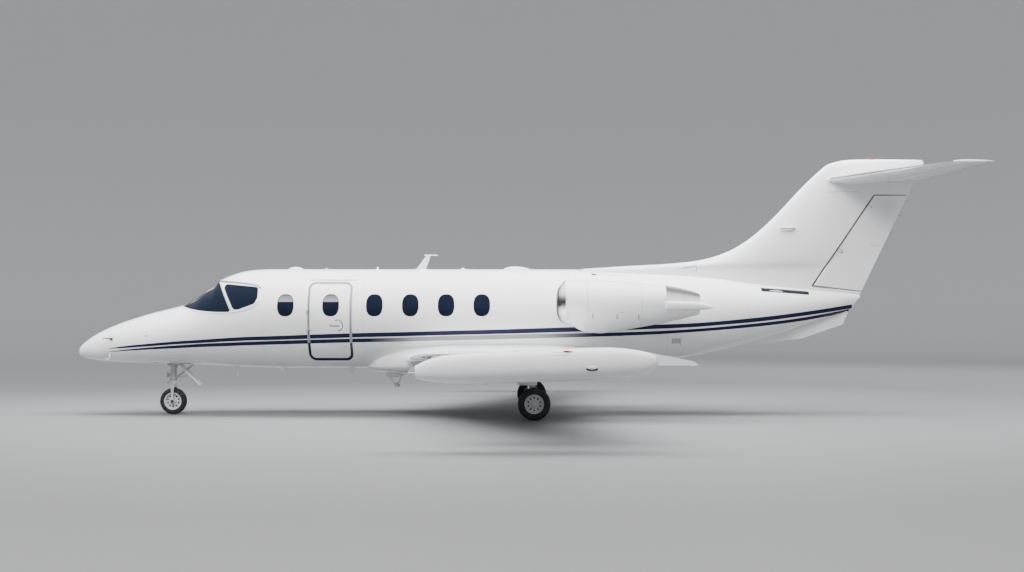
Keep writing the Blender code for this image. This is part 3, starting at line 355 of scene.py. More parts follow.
def lip_metal(name, colour, roughness):
    """Bright rolled metal with painted reflections: darker at its bowed front edge and where it faces level,
    a painted reflection of the horizon.
    """
    look = Look(name, colour, roughness, 0.85)
    height = look.facing()
    # Painted reflections: light where the lip faces up or down, dark where it faces level and along its front
    # edge.
    above = look.remap(height, 0.04, 0.34, 0.0, 1.0)
    below = look.remap(height, -0.16, -0.42, 0.0, 0.72)
    front = look.axis("Z")
    for operation, value in (("SUBTRACT", ENGINE_Z), ("ABSOLUTE", 0.0), ("DIVIDE", LIP_HALF),
                             ("MINIMUM", 1.0), ("POWER", 4.0), ("MULTIPLY", LIP_BOW), ("ADD", LIP_START_X)):
        front = look.math(operation, front, value)
    depth = look.math("SUBTRACT", look.axis("X"), front)
    edge = look.remap(depth, 0.014, 0.022, 0.03, 0.5)
    edge = look.math("ADD", edge, look.remap(depth, 0.03, 0.07, 0.0, 0.5))
    lip_painted_reflection = look.math("MULTIPLY", look.math("MAXIMUM", above, below), edge)
    shine = look.mix(look.cloud(5.0, 4.0, 0.35, 0.7, 0.0, 0.08), colour, tint(colour, 0.8))
    rough = look.cloud(60.0, 3.0, 0.3, 0.7, roughness * 0.7, roughness * 1.4)
    base = look.mix(lip_painted_reflection, tint(colour, 0.1), shine)
    look.put(Base_Color=base, Roughness=rough, Metallic=look.remap(height, 0.1, 0.45, 0.85, 0.5))
    return look


def stripe_paint(name, colour, fades=None):
    """Dark enamel with a soft gloss. It fades to a lighter grey between places along X, and back: a painted
    reflection of the white wing.
    """
    look = Look(name, colour, 0.34, Specular_IOR_Level=0.14, Coat_Weight=0.02)
    base = look.mix(look.cloud(2.0, 4.0, 0.3, 0.7, 0.0, 1.0), colour, tint(colour, 1.25))
    # Painted reflection of the wing on the lower stripe.
    if fades:
        along = look.axis("X")
        come = look.remap(along, *fades[0], 0.0, 1.0)
        go = look.remap(along, *fades[1], 1.0, 0.0)
        base = look.mix(look.math("MULTIPLY", come, go), base, PAINTED_WING_REFLECTION_GREY)
    look.put(Base_Color=base, Roughness=look.cloud(12.0, 4.0, 0.3, 0.7, 0.28, 0.4))
    return look


def clear_material(name, colour, alpha):
    """Tinted glazing: a dark gloss sheet that lets part of the light through."""
    look = Look(name, colour, 0.03, IOR=1.49, Alpha=alpha, Specular_IOR_Level=0.3)
    look.put(Roughness=look.cloud(14.0, 5.0, 0.45, 0.8, 0.02, 0.07))
    look.made.blend_method = "BLEND"
    return look


def shaded_glass(name, colour, alpha):
    """Tinted glazing with a pale blind drawn part of the way down behind it; painted shade darkens the blind
    towards its top.
    """
    look = clear_material(name, colour, alpha)
    height = look.axis("Z")
    drawn = look.remap(height, BLIND_Z - 0.012, BLIND_Z + 0.004, 0.0, 1.0)
    # Painted shade: the blind is darker towards its top.
    painted_blind_shade = look.remap(height, BLIND_Z, WINDOW_Z + WINDOW_SIZE[1] / 2, 0.0, 1.0)
    blind = look.mix(painted_blind_shade, (0.26, 0.265, 0.28), (0.075, 0.08, 0.09))
    look.put(Base_Color=look.mix(drawn, colour, blind), Alpha=look.remap(drawn, 0.0, 1.0, alpha, 1.0))
    return look


def plastic(name, colour, roughness, grain=300.0, strength=0.12):
    look = Look(name, colour, roughness)
    pale = tuple(min(1.0, c * 1.18 + 0.004) for c in colour)
    look.put(Base_Color=look.mix(look.cloud(5.0, 3.0, 0.3, 0.7, 0.0, 1.0), colour, pale))
    look.bump(look.noise(grain, 2.0), strength, 0.0006)
    return look


def rubber(name):
    look = Look(name, (0.022, 0.022, 0.023), 0.72)
    dust = look.cloud(11.0, 6.0, 0.45, 0.75, 0.0, 0.6)
    look.put(Base_Color=look.mix(dust, (0.02, 0.02, 0.021), (0.075, 0.072, 0.068)))
    look.bump(look.noise(180.0, 3.0), 0.2, 0.0008)
    return look


def leather(name, colour):
    look = Look(name, colour, 0.48, Specular_IOR_Level=0.4)
    cells = {"Vector": look.place(), "Scale": 260.0}
    grain = look.add("TexVoronoi", cells, "Distance", feature="DISTANCE_TO_EDGE")
    grain = look.remap(grain, 0.0, 0.18, 0.0, 1.0)
    base = look.mix(look.cloud(5.0, 5.0, 0.35, 0.7, 0.0, 1.0), colour, tint(colour, 0.8))
    look.put(Base_Color=look.mix(grain, tint(colour, 0.62), base))
    look.bump(grain, 0.25, 0.0008)
    return look


def carpet(name, colour):
    look = Look(name, colour, 0.95, Sheen_Weight=0.3)
    tufts = look.noise(420.0, 2.0)
    look.put(Base_Color=look.mix(look.remap(tufts, 0.35, 0.65, 0.0, 1.0), tint(colour, 0.6), colour))
    look.bump(tufts, 0.7, 0.003)
    return look


def lamp_glass(name, colour, glow):
    look = Look(name, colour, 0.08, Coat_Weight=0.8, Emission_Color=colour, Emission_Strength=glow)
    ribs = look.add("TexWave", {"Vector": look.place(), "Scale": 60.0}, "Fac")
    look.put(Base_Color=look.mix(ribs, colour, tint(colour, 0.7)))
    return look


def display_glass(name):
    """A lit display: a pale ground above a darker one, with faint rulings."""
    look = Look(name, (0.01, 0.014, 0.02), 0.1, Emission_Strength=0.8)
    above = look.remap(look.axis("Z"), 1.538, 1.542, 0.0, 1.0)
    picture = look.mix(above, (0.1, 0.055, 0.02), (0.03, 0.1, 0.22))
    rulings = look.add("TexWave", {"Vector": look.place(), "Scale": 22.0}, "Fac", bands_direction="Z")
    picture = look.mix(look.remap(rulings, 0.97, 0.99, 0.0, 0.6), picture, (0.4, 0.45, 0.45))
    look.put(Base_Color=picture, Emission_Color=picture)
    return look


LOOKS = {
    "white": gloss_paint("gloss_white", WHITE, 0.5, (-6.62, -5.86, -4.05, -2.4, 1.1, 2.62, 3.98)),
    "white_plain": gloss_paint("gloss_white_plain", WHITE, 0.2),
    "strip_white": gloss_paint("rim_white", (0.8, 0.8, 0.81)),
    "grey": gloss_paint("gloss_grey", (0.36, 0.37, 0.38)),
    # The gear's white paint, darkened to grey as painted shade under the aircraft.
    "gear_white_in_painted_shade": gloss_paint("gear_gloss_white_painted_shade", (0.4, 0.405, 0.415)),
    "wheel_paint": gloss_paint("wheel_gloss_grey", (0.6, 0.605, 0.61)),
    "navy": stripe_paint("stripe_navy", NAVY),
    "navy_with_wing_reflection": stripe_paint("stripe_navy_wing_reflection", NAVY, PAINTED_WING_REFLECTION_X),
    "polished": worn_metal("polished_metal", (0.86, 0.86, 0.87), 0.09, 5.0, (1, 1, 1), 0.04, 0.93),
    "lip_metal": lip_metal("intake_lip_metal", (0.95, 0.95, 0.955), 0.1),
    "nozzle": metal_with_painted_sky_reflection("nozzle_metal", (0.88, 0.875, 0.87), 0.34, 0.3),
    "steel": worn_metal("gear_steel", (0.6, 0.61, 0.62), 0.3, 12.0, (6, 6, 1), 0.1, 0.75),
    "chrome": worn_metal("oleo_chrome", (0.85, 0.86, 0.88), 0.06, 8.0, (1, 1, 5), 0.02, 0.95),
    "dark_metal": worn_metal("scorched_metal", (0.16, 0.155, 0.15), 0.42, 9.0, (1, 4, 4), 0.1, 0.6),
    "fan": worn_metal("fan_blade_metal", (0.55, 0.56, 0.58), 0.24, 10.0, (1, 6, 6), 0.08, 0.8),
    # Window and windshield glass: near-opaque and near-black, partly real tint and partly painted shade of
    # the cabin behind.
    "shaded_glass": shaded_glass("shaded_glass", TINT_WITH_PAINTED_SHADE, 0.95),
    "glass": clear_material("tinted_glass", TINT_WITH_PAINTED_SHADE, 0.95),
    "windshield": clear_material("windshield_glass", (0.005, 0.009, 0.02), 0.86),
    "lens": clear_material("clear_lens", (0.34, 0.34, 0.36), 0.55),
    "strip": plastic("door_strip_grey", (0.27, 0.275, 0.29), 0.38, 260.0, 0.05),
    "ledge": plastic("drip_ledge_grey", (0.16, 0.165, 0.18), 0.4, 260.0, 0.05),
    "joint": plastic("panel_joint", (0.1, 0.105, 0.12), 0.6, 200.0, 0.05),
    "seal": plastic("seal_rubber", (0.02, 0.021, 0.024), 0.55, 200.0, 0.15),
    "lining": plastic("cabin_lining", (0.56, 0.53, 0.48), 0.6, 500.0, 0.1),
    "trim": plastic("dark_trim", (0.035, 0.036, 0.04), 0.55, 420.0, 0.2),
    "shade": plastic("window_shade", (0.45, 0.45, 0.46), 0.7, 500.0, 0.1),
    # Near-black for openings, wells and holes: painted shade where their insides lie in shadow.
    "dark": plastic("recess_painted_shade", (0.01, 0.011, 0.014), 0.8, 200.0, 0.05),
    "wood": plastic("walnut_veneer", (0.11, 0.05, 0.022), 0.25, 60.0, 0.05),
    "red_paint": plastic("latch_red", (0.2, 0.008, 0.014), 0.35, 200.0, 0.03),
    "walk": plastic("wing_walk_grey", (0.3, 0.31, 0.32), 0.85, 90.0, 0.6),
    "leather": leather("tan_leather", (0.44, 0.33, 0.22)),
    "dark_leather": leather("dark_leather", (0.065, 0.062, 0.06)),
    "cove_lamp": lamp_glass("cove_lamp", (0.95, 0.9, 0.8), 1.2),
    "red": lamp_glass("red_lamp", (0.55, 0.012, 0.015), 0.15),
    "green": lamp_glass("green_lamp", (0.01, 0.42, 0.1), 0.15),
    "clear_lamp": lamp_glass("white_lamp", (0.8, 0.82, 0.85), 0.1),
    "screen": display_glass("display_glass"),
    "rubber": rubber("tyre_rubber"),
    "carpet": carpet("floor_carpet", (0.17, 0.15, 0.13)),
}


# Meshes

def shade(obj, angle=40.0):
    obj.data.shade_smooth()
    obj.data.set_sharp_from_angle(angle=math.radians(angle))


def link_object(name, data):
    obj = bpy.data.objects.new(name, data)
    bpy.context.scene.collection.objects.link(obj)
    return obj


def new_object(name, bm, material, body="airframe", smooth=40.0, node=None, matrix=None):
    """A piece that rides on a body. It may stand for a CAD node."""
    bmesh.ops.recalc_face_normals(bm, faces=bm.faces)
    mesh = bpy.data.meshes.new(name)
    bm.to_mesh(mesh)
    bm.free()
    if matrix:
        mesh.transform(matrix)
    mesh.materials.append(LOOKS[material].made)
    obj = link_object(name, mesh)
    shade(obj, smooth)
    if body:
        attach(obj, body)
    if node:
        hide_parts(node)
    return obj


def repaint(obj, material):
    obj.data.materials.clear()
    obj.data.materials.append(LOOKS[material].made)


def add_loft(bm, rings, around=False, caps=True):
    """Joins rings of points by faces, and the last ring to the first where it goes around."""
    rows = [[bm.verts.new(point) for point in ring] for ring in rings]
    pairs = list(zip(rows, rows[1:]))
    if around:
        pairs.append((rows[-1], rows[0]))
    for first, second in pairs:
        for i in range(len(first)):
            j = (i + 1) % len(first)
            bm.faces.new((first[i], first[j], second[j], second[i]))
    if caps and not around:
        bm.faces.new(rows[0])
        bm.faces.new(rows[-1])
    return bm


def loft(name, rings, material, body="airframe", around=False, smooth=40.0, node=None, matrix=None):
    return new_object(name, add_loft(bmesh.new(), rings, around), material, body, smooth, node, matrix)


def cutter(rings, material):
    return loft("cutter", rings, material, None)


def box(name, corner, opposite, material, body="airframe", bevel=0.0, segments=2, node=None, matrix=None):
    low, high = (Vector(tuple(map(pick, corner, opposite))) for pick in (min, max))
    bm = bmesh.new()
    bmesh.ops.create_cube(bm, size=1.0)
    bmesh.ops.scale(bm, vec=high - low, verts=bm.verts)
    bmesh.ops.translate(bm, vec=(high + low) / 2, verts=bm.verts)
    if bevel:
        bmesh.ops.bevel(bm, geom=bm.edges, offset=bevel, segments=segments, affect="EDGES", profile=0.6)
    return new_object(name, bm, material, body, 50.0, node, matrix)


def add_rod(bm, start, end, radius, end_radius=None, points=24):
    start, end = Vector(start), Vector(end)
    axis = end - start
    turn = Vector((0, 0, 1)).rotation_difference(axis).to_matrix().to_4x4()
    far = radius if end_radius is None else end_radius
    bmesh.ops.create_cone(bm, cap_ends=True, segments=points, radius1=radius, radius2=far, depth=axis.length,
                          matrix=Matrix.Translation((start + end) / 2) @ turn)


def rods(name, parts, material, body="airframe", points=20, node=None):
    """Rods in one piece, each from its start, end, radius and maybe the radius at its end."""
    bm = bmesh.new()
    for start, end, *radii in parts:
        add_rod(bm, start, end, radii[0], radii[-1], points)
    return new_object(name, bm, material, body, node=node)


def direction(points, i):
    """Where a broken line heads at one of its points."""
    return (points[min(i + 1, len(points) - 1)] - points[max(i - 1, 0)]).normalized()


def tube_along(name, points, radii, material, body="airframe", around=16):
    """A round bar that follows points, with its radius at each."""
    points = [Vector(p) for p in points]
    rings = []
    side = direction(points, 0).orthogonal().normalized()
    for i, point in enumerate(points):
        ahead = direction(points, i)
        side = (side - ahead * side.dot(ahead)).normalized()
        across = ahead.cross(side)
        turns = (math.tau * k / around for k in range(around))
        rings.append([point + (side * math.cos(a) + across * math.sin(a)) * radii[i] for a in turns])
    return loft(name, rings, material, body)


def prism(outline, low, high, axis="Y"):
    """Rings of an outline pushed along an axis."""
    order = {"X": lambda a, b, c: (c, a, b), "Y": lambda a, b, c: (a, c, b), "Z": lambda a, b, c: (a, b, c)}
    return [[order[axis](a, b, level) for a, b in outline] for level in (low, high)]


def carve(obj, *cutters, within=None, joined=None, smooth=40.0):
    """Cuts solids out of a piece. Faces that a cutter leaves keep the cutter's material."""
    steps = [(within, "INTERSECT")] + [(operand, "DIFFERENCE") for operand in cutters] + [(joined, "UNION")]
    steps = [step for step in steps if step[0]]
    for operand, operation in steps:
        step = obj.modifiers.new("carve", "BOOLEAN")
        step.operation = operation
        step.solver = "EXACT"
        step.material_mode = "TRANSFER"
        step.object = operand
    freeze(obj)
    for operand, _ in steps:
        bpy.data.objects.remove(operand)
    shade(obj, smooth)
    return obj


def freeze(obj):
    """Makes a piece's modifiers part of its mesh."""
    graph = bpy.context.evaluated_depsgraph_get()
    made = bpy.data.meshes.new_from_object(obj.evaluated_get(graph))
    obj.modifiers.clear()
    old = obj.data
    obj.data = made
    made.name = old.name
    bpy.data.meshes.remove(old)


# Outlines and tables

def offset_outline(outline, amount):
    """The outline moved inwards by an amount, or outwards where it is negative."""
    area = sum(a[0] * b[1] - b[0] * a[1] for a, b in zip(outline, outline[1:] + outline[:1]))
    sign = math.copysign(1, area)
    outline = [Vector(point) for point in outline]
    moved = []
    for i, corner in enumerate(outline):
        before = (corner - outline[i - 1]).normalized()
        after = (outline[(i + 1) % len(outline)] - corner).normalized()
        normal = Vector((-before.y, before.x)) * sign
        middle = (normal + Vector((-after.y, after.x)) * sign).normalized()
        moved.append(tuple(corner + middle * (amount / max(0.3, middle.dot(normal)))))
    return moved


def rounded(outline, radius, steps=8):
    """An outline whose corners are arcs."""
    corners = [Vector(point) for point in outline]
    result = []
    for i, corner in enumerate(corners):
        back = corners[i - 1] - corner
        ahead = corners[(i + 1) % len(corners)] - corner
        half = back.angle(ahead) / 2
        reach = min(radius / math.tan(half), 0.45 * back.length, 0.45 * ahead.length)
        start = corner + back.normalized() * reach
        end = corner + ahead.normalized() * reach
        for t in spread_count(0.0, 1.0, steps):
            parts = ((1 - t) ** 2, 2 * t * (1 - t) * math.sin(half), t * t)
            result.append(tuple((start * parts[0] + corner * parts[1] + end * parts[2]) / sum(parts)))
    return result


def spread_count(start, end, count):
    return [start + (end - start) * k / count for k in range(count + 1)]


def spread(start, end, step):
    """Even places between two ends, at most a step apart."""
    return spread_count(start, end, max(1, math.ceil((end - start) / step)))


def between(a, b, count):
    return list(zip(spread_count(a[0], b[0], count), spread_count(a[1], b[1], count)))


def along_path(corners, step):
    """A broken line with points at most a step apart."""
    result = [corners[0]]
    for a, b in zip(corners, corners[1:]):
        result += between(a, b, max(1, math.ceil(math.dist(a, b) / step)))[1:]
    return result


def resample(outline, step):
    """A closed outline with points at most a step apart."""
    return along_path(outline + outline[:1], step)[:-1]


def superellipse(centre, half_width, half_height, power=2.0, points=72):
    outline = []
    for k in range(points):
        pair = []
        for middle, half, share in zip(centre, (half_width, half_height), circle(k, points)):
            pair.append(middle + half * math.copysign(abs(share) ** (2 / power), share))
        outline.append(tuple(pair))
    return outline


def circle(k, count, start=0.0):
    angle = math.tau * k / count + start
    return math.cos(angle), math.sin(angle)


class Curve:
    """Rows of a table joined by smooth curves that don't overshoot."""

    def __init__(self, rows):
        self.rows = rows
        self.xs = [row[0] for row in rows]
        self.slopes = []
        for c in range(1, len(rows[0])):
            steps = [(b[c] - a[c]) / (b[0] - a[0]) for a, b in zip(rows, rows[1:])]
            slopes = [steps[0]]
            for k, (before, after) in enumerate(zip(steps, steps[1:])):
                h0, h1 = self.xs[k + 1] - self.xs[k], self.xs[k + 2] - self.xs[k + 1]
                w0, w1 = 2 * h1 + h0, h1 + 2 * h0
                slopes.append((w0 + w1) / (w0 / before + w1 / after) if before * after > 0 else 0.0)
            self.slopes.append(slopes + [steps[-1]])

    def at(self, x):
        x = min(max(x, self.xs[0]), self.xs[-1])
        k = 0
        while k < len(self.xs) - 2 and x > self.xs[k + 1]:
            k += 1
        h = self.xs[k + 1] - self.xs[k]
        t = (x - self.xs[k]) / h
        result = [x]
        for a, b, slopes in zip(self.rows[k][1:], self.rows[k + 1][1:], self.slopes):
            value = (2 * t ** 3 - 3 * t ** 2 + 1) * a + (t ** 3 - 2 * t ** 2 + t) * h * slopes[k]
            value += (3 * t ** 2 - 2 * t ** 3) * b + (t ** 3 - t ** 2) * h * slopes[k + 1]
            result.append(value)
        return result

    def stations(self, start, end, step):
        """Places between two ends, with the table's own rows among them."""
        marks = [start] + [x for x in self.xs if start + 0.01 < x < end - 0.01] + [end]
        places = []
        for a, b in zip(marks, marks[1:]):
            places += spread(a, b, step)[:-1]
        return places + [end]

    def rows_between(self, start, end, step):
        return [self.at(x) for x in self.stations(start, end, step)]


BODY = Curve(FUSELAGE)


def slant_at(x):
    """How far the body's sections lean back towards its tail."""
    return SLANT_END * max(0.0, (x - SLANT_START_X) / (FUSELAGE[-1][0] - SLANT_START_X))


def fuselage_ring(x, inset=0.0, points=AROUND, scale=1.0):
    x, top, bottom, half_width, widest = BODY.at(x)
    ring = []
    for rise, out in (circle(k, points) for k in range(points)):
        height = (top - widest if rise > 0 else widest - bottom) - inset
        z = widest + height * rise * scale
        ring.append((x + slant_at(x) * (z - widest), (half_width - inset) * out * scale, z))
    return ring


def fuselage_loft(name, start, end, step, inset, material, body=None, node=None):
    rings = [fuselage_ring(x, inset) for x in BODY.stations(start, end, step)]
    return loft(name, rings, material, body, node=node)


def arch(share):
    return math.sqrt(max(0.0, 1 - share * share))


def side_y(x, z, inset=0.0):
    """Half the fuselage's width at a place and height."""
    station = x
    for _ in range(4):
        station = x - slant_at(station) * (z - BODY.at(station)[4])
    _, top, bottom, half_width, widest = BODY.at(station)
    height = (top - widest if z > widest else widest - bottom) - inset
    return (half_width - inset) * arch((z - widest) / height)


def top_z(x, y=0.0, inset=0.0):
    _, top, _, half_width, widest = BODY.at(x)
    return widest + (top - widest - inset) * arch(y / (half_width - inset))


def bottom_z(x, y=0.0):
    _, _, bottom, half_width, widest = BODY.at(x)
    return widest - (widest - bottom) * arch(y / half_width)


def on_skin(x, z, sign, lift=0.0):
    """A point on one side of the fuselage, raised along the skin's normal."""
    e = 0.004
    along = (side_y(x + e, z) - side_y(x - e, z)) / (2 * e)
    up = (side_y(x, z + e) - side_y(x, z - e)) / (2 * e)
    point = Vector((x, side_y(x, z), z)) + Vector((-along, 1.0, -up)).normalized() * lift
    return Vector((point.x, sign * point.y, point.z))


def sheet(name, rows, place, lift, material, body="airframe", depth=0.002):
    """A thin closed sheet over a grid of points, between two heights of a surface."""
    bm = bmesh.new()
    a, b = ([[bm.verts.new(place(*p, h)) for p in row] for row in rows] for h in (lift, -depth))
    last_row, last = len(rows) - 1, len(rows[0]) - 1
    for i in range(last_row):
        for j in range(last):
            for grid in (a, b):
                bm.faces.new((grid[i][j], grid[i + 1][j], grid[i + 1][j + 1], grid[i][j + 1]))
        for j in (0, last):
            bm.faces.new((a[i][j], a[i + 1][j], b[i + 1][j], b[i][j]))
    for j in range(last):
        for i in (0, last_row):
            bm.faces.new((a[i][j], a[i][j + 1], b[i][j + 1], b[i][j]))
    return new_object(name, bm, material, body)


def skin_place(sign):
    return lambda x, z, height: on_skin(x, z, sign, height)


def skin_stripe(name, table, start, end, sign, material, body="airframe"):
    """A painted line along the side, between two places."""
    rows = []
    for x, middle, thickness in Curve(table).rows_between(start, end, 0.06):
        rows.append([(x, middle + thickness * s) for s in (-0.5, -0.25, 0.0, 0.25, 0.5)])
    sheet(name, rows, skin_place(sign), STRIPE_LIFT, material, body)


def strip_rows(points, width, shares=(-1.0, -0.4, 0.4, 1.0), tapered=False):
    points = [Vector(p) for p in points]
    rows = []
    for i, point in enumerate(points):
        ahead = direction(points, i)
        share = min(0.98, max(0.02, i / (len(points) - 1)))
        half = width / 2 * (math.sin(math.pi * share) ** 0.5 if tapered else 1.0)
        rows.append([tuple(point + Vector((-ahead.y, ahead.x)) * half * s) for s in shares])
    return rows


def path_strip(name, points, width, sign, material, body="airframe", lift=0.0012, tapered=False):
    """A strip that lies on the fuselage side along points in X and Z."""
    sheet(name, strip_rows(points, width, tapered=tapered), skin_place(sign), lift, material, body)


def rail(name, outline, inner, outer, place, lift, share, sink, material, body="airframe"):
    """A flat strip on a surface round an outline, from one offset to another."""
    near, far = offset_outline(outline, -inner), offset_outline(outline, -outer)
    loops = ((far, -sink), (far, lift * share), (near, lift), (near, -sink))
    rings = [[place(x, z, height) for x, z in ring] for ring, height in loops]
    return loft(name, rings, material, body, True, 50.0)


def skin_rail(name, outline, inner, outer, sign, lift, material, body="airframe"):
    return rail(name, outline, inner, outer, skin_place(sign), lift, 0.6, 0.003, material, body)


def patch(name, outline, place, lift, material, body="airframe", depth=0.002):
    """A low plate of an outline on a surface."""
    loft(name, [[place(x, z, height) for x, z in outline] for height in (-depth, lift)], material, body)


def window_outline(x, inset=0.0):
    width, height = WINDOW_SIZE
    return superellipse((x, WINDOW_Z), width / 2 - inset, height / 2 - inset, WINDOW_SHAPE, 48)


def windshield_outline(inset=0.0):
    return offset_outline(rounded(WINDSHIELD, WINDSHIELD_CORNER), inset)


def cockpit_outline(inset=0.0):
    return offset_outline(rounded(COCKPIT_WINDOW, COCKPIT_CORNER), inset)


def rectangle(x0, z0, x1, z1):
    return [(x0, z0), (x1, z0), (x1, z1), (x0, z1)]


def door_outline(grow=0.0):
    corners = rectangle(DOOR_X[0], DOOR_Z[0], DOOR_X[1], DOOR_Z[1])
    return resample(offset_outline(rounded(corners, DOOR_CORNER), -grow), 0.03)


def door_form(name, grow):
    """A block with the door's outline, whose rear edge leans in towards the cabin."""
    rings = [[], [], [], []]
    for x, z in door_outline(grow):
        y_out = -side_y(DOOR_WINDOW_X, z)
        y_in = -side_y(DOOR_WINDOW_X, z, WALL)
        share = max(0.0, (x - DOOR_X[0]) / (DOOR_X[1] - DOOR_X[0]))
        x_in = x - DOOR_TAPER * (y_in - y_out) * share
        corners = ((x, -1.0), (x, y_out - 0.002), (x_in, y_in + 0.006), (x_in, -0.2))
        for ring, (a, y) in zip(rings, corners):
            ring.append((a, y, z))
    return loft(name, rings, "trim", None)


# Fuselage

def build_fuselage():
    nose = [fuselage_ring(FUSELAGE[0][0], scale=s) for s in (0.35, 0.7)]
    nose[1] = [(x + 0.004, y, z) for x, y, z in nose[1]]
    nose += [fuselage_ring(x) for x in BODY.stations(-7.298, NOSE_BREAK_X, 0.05)]
    loft("nose_skin", nose, "white", node="nose_section")
    fuselage_loft("tail_skin", TAIL_BREAK_X, FUSELAGE[-1][0], 0.1, 0.0, "white", "airframe", "tail_cone")
    shell = fuselage_loft("fuselage_skin", NOSE_BREAK_X, TAIL_BREAK_X, 0.07, 0.0, "white")
    cutters = [fuselage_loft("cutter", CABIN[0], CABIN[1], 0.12, WALL, "lining")]
    hood = cutter(prism(windshield_outline(-0.012), -0.9, 0.9), "trim")
    cutters.append(carve(hood, within=fuselage_loft("cutter", -5.8, -4.3, 0.05, 0.04, "trim")))
    for sign in SIDES.values():
        cutters.append(cutter(prism(windshield_outline(), sign * CENTRE_POST / 2, sign), "white_plain"))
        cutters.append(cutter(prism(cockpit_outline(), sign * 0.3, sign), "white_plain"))
    for x in (FORWARD_WINDOW_X, *AFT_WINDOWS_X):
        cutters.append(cutter(prism(window_outline(x), -1.0, -0.5), "seal"))
    for x in (FORWARD_WINDOW_X, DOOR_WINDOW_X, *AFT_WINDOWS_X):
        cutters.append(cutter(prism(window_outline(x), 0.5, 1.0), "seal"))
    carve(shell, *cutters, door_form("cutter", 0.0))
    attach(shell, "airframe")
    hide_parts("fuselage_shell")


def build_door():
    door = door_form("door_skin", -DOOR_GAP)
    skin = fuselage_loft("cutter", -3.6, -2.3, 0.1, 0.0, "white_plain")
    space = fuselage_loft("cutter", -3.6, -2.3, 0.1, WALL, "lining")
    carve(door, space, cutter(prism(window_outline(DOOR_WINDOW_X), -1.0, -0.5), "seal"), within=skin)
    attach(door, "entry_door")
    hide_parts("entry_door")
    split_rail("door_strip", -0.023, -0.0065, "entry_door")
    split_rail("doorway_strip", 0.0, 0.02, "airframe")
    for z in HINGE_HEIGHTS:
        for end, way, body in (("low", -1, "airframe"), ("high", 1, "entry_door")):
            near, far = z + way * 0.001, z + way * 0.044
            label = f"{end}_{round(z * 100)}"
            low, high = sorted((near, far))
            rods("hinge_barrel_" + label, [((HINGE_X, HINGE_Y, low), (HINGE_X, HINGE_Y, high), 0.006)],
                 "strip", body, 32)
            box("hinge_leaf_" + label, (HINGE_X, HINGE_Y - 0.003, near),
                (HINGE_X + way * 0.03, HINGE_Y + 0.016, far), "strip", body, 0.001)


def split_rail(name, inner, outer, body):
    """The strip round the door: grey above the lower stripe's bottom edge and navy below it."""
    made = skin_rail(name, door_outline(), inner, outer, -1, 0.0025, "strip", body)
    made.data.materials.append(LOOKS["navy"].made)
    lower = Curve(LOWER_STRIPE)
    for face in made.data.polygons:
        _, middle, thickness = lower.at(face.center.x)
        face.material_index = int(face.center.z < middle - thickness / 2)


def build_stripes(side, sign):
    for name, table, colour in (("upper", UPPER_STRIPE, "navy"), ("lower", LOWER_STRIPE, "navy_with_wing_reflection")):
        label = f"stripe_{name}_{side}"
        ends = [table[0][0], table[-1][0]]
        if side == "left":
            ends[1:1] = (DOOR_X[0] - 0.018, DOOR_X[1] + 0.018)
            start, end = DOOR_X[0] + 0.022, DOOR_X[1] - 0.022
            skin_stripe("door_" + label, table, start, end, sign, "navy", "entry_door")
        for k, (start, end) in enumerate(zip(ends[::2], ends[1::2])):
            skin_stripe(f"{label}_{k + 1}", table, start, end, sign, colour)


def pane(name, outline, low, high, material, ends, body="airframe", node=None):
    piece = loft(name, prism(outline, low, high), material, None)
    skins = [fuselage_loft("cutter", *ends, 0.06, GLASS_INSET + inwards, material)
             for inwards in (0.0, GLASS_THICKNESS)]
    carve(piece, skins[1], within=skins[0])
    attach(piece, body)
    if node:
        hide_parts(node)


def build_glass(side, sign):
    near = sign * (CENTRE_POST / 2 + 0.001)
    pane("windshield_glass_" + side, windshield_outline(0.001), near, sign, "windshield", (-5.8, -4.3),
         node="windshield_" + side)
    pane("cockpit_glass_" + side, cockpit_outline(0.001), sign * 0.3, sign, "windshield", (-5.0, -3.9),
         node="cockpit_window_" + side)
    row = [FORWARD_WINDOW_X, *AFT_WINDOWS_X]
    nodes = {len(row): "cabin_windows_left", 1: "forward_window_left"}
    if side == "right":
        row.insert(1, DOOR_WINDOW_X)
        nodes = {len(row): "cabin_windows_right"}
    panes = [(f"cabin_glass_{side}_{k}", f"window_seal_{side}_{k}", x, "airframe", nodes.get(k))
             for k, x in enumerate(row, 1)]
    if side == "left":
        panes.append(("door_glass", "door_window_seal", DOOR_WINDOW_X, "entry_door", "door_window"))
    for name, seal, x, body, node in panes:
        look = "shaded_glass" if x < BLINDS_END_X else "glass"
        pane(name, window_outline(x, 0.004), sign * 0.5, sign, look, (x - 0.3, x + 0.3), body, node)
        skin_rail(seal, window_outline(x), -0.004, 0.004, sign, 0.0012, "seal", body)


def build_belly():
    rings = []
    for x, top, bottom, half_width in Curve(FAIRING).rows_between(FAIRING[0][0], FAIRING[-1][0], 0.12):
        outline = superellipse((0.0, (top + bottom) / 2), half_width, (top - bottom) / 2, FAIRING_SHAPE, 96)
        rings.append([(x, y, z) for y, z in outline])
    belly = loft("belly_skin", rings, "white_plain", node="belly_fairing")
    carve(belly, fuselage_loft("cutter", -3.0, 2.6, 0.12, 0.012, "white_plain"))


# Wings and tail

def half_thickness(f):
    """An aerofoil's half thickness at a share of its chord, for a full thickness of 1."""
    terms = (0.2969 * math.sqrt(f), -0.126 * f, -0.3516 * f ** 2, 0.2843 * f ** 3, -0.1036 * f ** 4)
    return 5 * sum(terms)


def eased(count):
    """Shares from 0 to 1 that crowd towards both ends."""
    return [0.5 * (1 - math.cos(math.pi * k / count)) for k in range(count + 1)]


